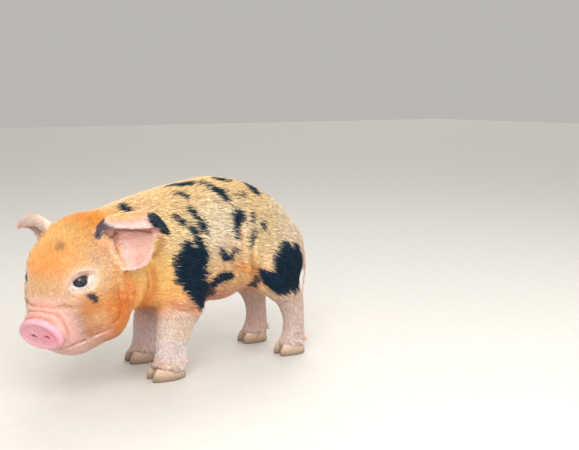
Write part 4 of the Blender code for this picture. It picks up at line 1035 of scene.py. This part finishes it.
# One blade: two rings of three points and a tip, as shares of length, width and lift, how light
# each point is, and where it lies on the tuft's patch of the map.
RINGS = ((0.0, 1.0, -0.25), (0.45, 0.85, 0.75))
TIP_LIFT, SINK = 0.95, 0.0003
FACES = ((0, 1, 4, 3), (1, 2, 5, 4), (2, 0, 3, 5), (3, 4, 6), (4, 5, 6), (5, 3, 6))
# Painted shade: each blade is darker towards its root, where the hair around it shades it, and a little
# lighter at its tip.
SHADE = np.array((0.82, 0.82, 0.82, 1.0, 1.0, 1.0, 1.08))
ON_PATCH = np.array(((-0.5, -0.5), (0.5, -0.5), (0, -0.5), (-0.4, 0), (0.4, 0), (0, 0), (0, 0.5)))


def grown_tufts(name, chosen):
    """One joined mesh of the chosen tufts, with their colours and their places on the map."""
    count = len(chosen)
    p, n, r, s = root[chosen], up[chosen], run[chosen], across[chosen]
    size, w, h = long[chosen][:, None], wide[chosen][:, None], lift[chosen][:, None]
    verts = np.empty((count, 7, 3))
    for ring, (far, girth, rise) in enumerate(RINGS):
        centre = p + r * size * far + n * (h * rise - (SINK if not ring else 0))
        verts[:, 3 * ring] = centre - s * w * girth / 2
        verts[:, 3 * ring + 1] = centre + s * w * girth / 2
        verts[:, 3 * ring + 2] = centre + n * w * girth * 0.4
    verts[:, 6] = p + r * size + n * h * TIP_LIFT
    made = bpy.data.meshes.new(name)
    sizes = np.tile([len(face) for face in FACES], count)
    loops = np.concatenate([np.array(face) for face in FACES])
    loops = (loops[None, :] + 7 * np.arange(count)[:, None]).ravel()
    made.vertices.add(count * 7)
    made.vertices.foreach_set("co", verts.ravel())
    made.loops.add(len(loops))
    made.loops.foreach_set("vertex_index", loops.astype(np.int32))
    made.polygons.add(len(sizes))
    made.polygons.foreach_set("loop_start", (np.cumsum(sizes) - sizes).astype(np.int32))
    made.update(calc_edges=True)
    thing = added(name, made)
    colours = np.clip(hair[chosen][:, None, :] * SHADE[None, :, None], 0, 1).reshape(-1, 3)
    paint(thing, "Tone", colours)
    places = (spot[chosen][:, None, :] + ON_PATCH[None, :, :] * PATCH).reshape(-1, 2)
    layer = made.uv_layers.new(name="OFBake")
    layer.data.foreach_set("uv", places[loops].astype(np.float32).ravel())
    made.shade_smooth()
    made.materials.append(hair_finish)
    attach(thing, "root")


for k in range(COAT_PIECES):
    grown_tufts(f"coat_{k + 1}", np.arange(k, TUFTS, COAT_PIECES))

# A plain pale floor and plain soft studio light from above and beside the camera, with a wide
# window's light from behind the piglet.
FLOOR_SIZE, WORLD_STRENGTH = 12, 0.54
FAR_LIGHT, FAR_SPREAD, FAR_POWER = Vector((-0.95, 0.75, 0.75)), math.radians(50), 1.7
LIGHTS_AIM = Vector((0, 0, 0.09))


def facing(direction):
    """The turn of a lamp that shines this way."""
    return direction.to_track_quat("-Z", "Y").to_euler()


bpy.ops.object.select_all(action="DESELECT")
bpy.ops.mesh.primitive_plane_add(size=FLOOR_SIZE, location=(0, 0, 0))
floor = bpy.context.object
floor.name = "floor"
# Matt paper scatters light evenly, and its fibres cloud it a little.
PAPER_CLOUDS = 60  # to the metre
paper, tree, shader, where = new_material("pale studio paper", Roughness=0.85)
fibres = add(tree, "TexNoise", [where], Scale=PAPER_CLOUDS, Detail=5)
pale_tones = add(tree, "ValToRGB", [(fibres.outputs["Fac"], "Fac")])
for stop, code in zip(pale_tones.color_ramp.elements, ("#c6c2bb", "#cfcbc4")):
    stop.color = (*tone(code), 1)
tree.links.new(pale_tones.outputs["Color"], shader.inputs["Base Color"])
floor.data.materials.append(paper)

world = bpy.data.worlds.new("studio")
bpy.context.scene.world = world
world.use_nodes = True
background = world.node_tree.nodes["Background"]
background.inputs["Color"].default_value = (*tone("#f4f1ec"), 1)
background.inputs["Strength"].default_value = WORLD_STRENGTH
for name, place, size, watts in (
    ("key", (0.80, -0.46, 0.85), 0.8, 13.5),
    ("fill", (0.85, 0.50, 0.50), 1.2, 6.5),
    ("top", (-0.10, 0.05, 1.40), 1.4, 6.5),
):
    bpy.ops.object.light_add(type="AREA", location=place, rotation=facing(LIGHTS_AIM - Vector(place)))
    lamp = bpy.context.object
    lamp.name = name
    lamp.data.size = size
    lamp.data.energy = watts
bpy.ops.object.light_add(type="SUN", location=FAR_LIGHT, rotation=facing(-FAR_LIGHT))
lamp = bpy.context.object
lamp.name = "window behind"
lamp.data.angle = FAR_SPREAD
lamp.data.energy = FAR_POWER
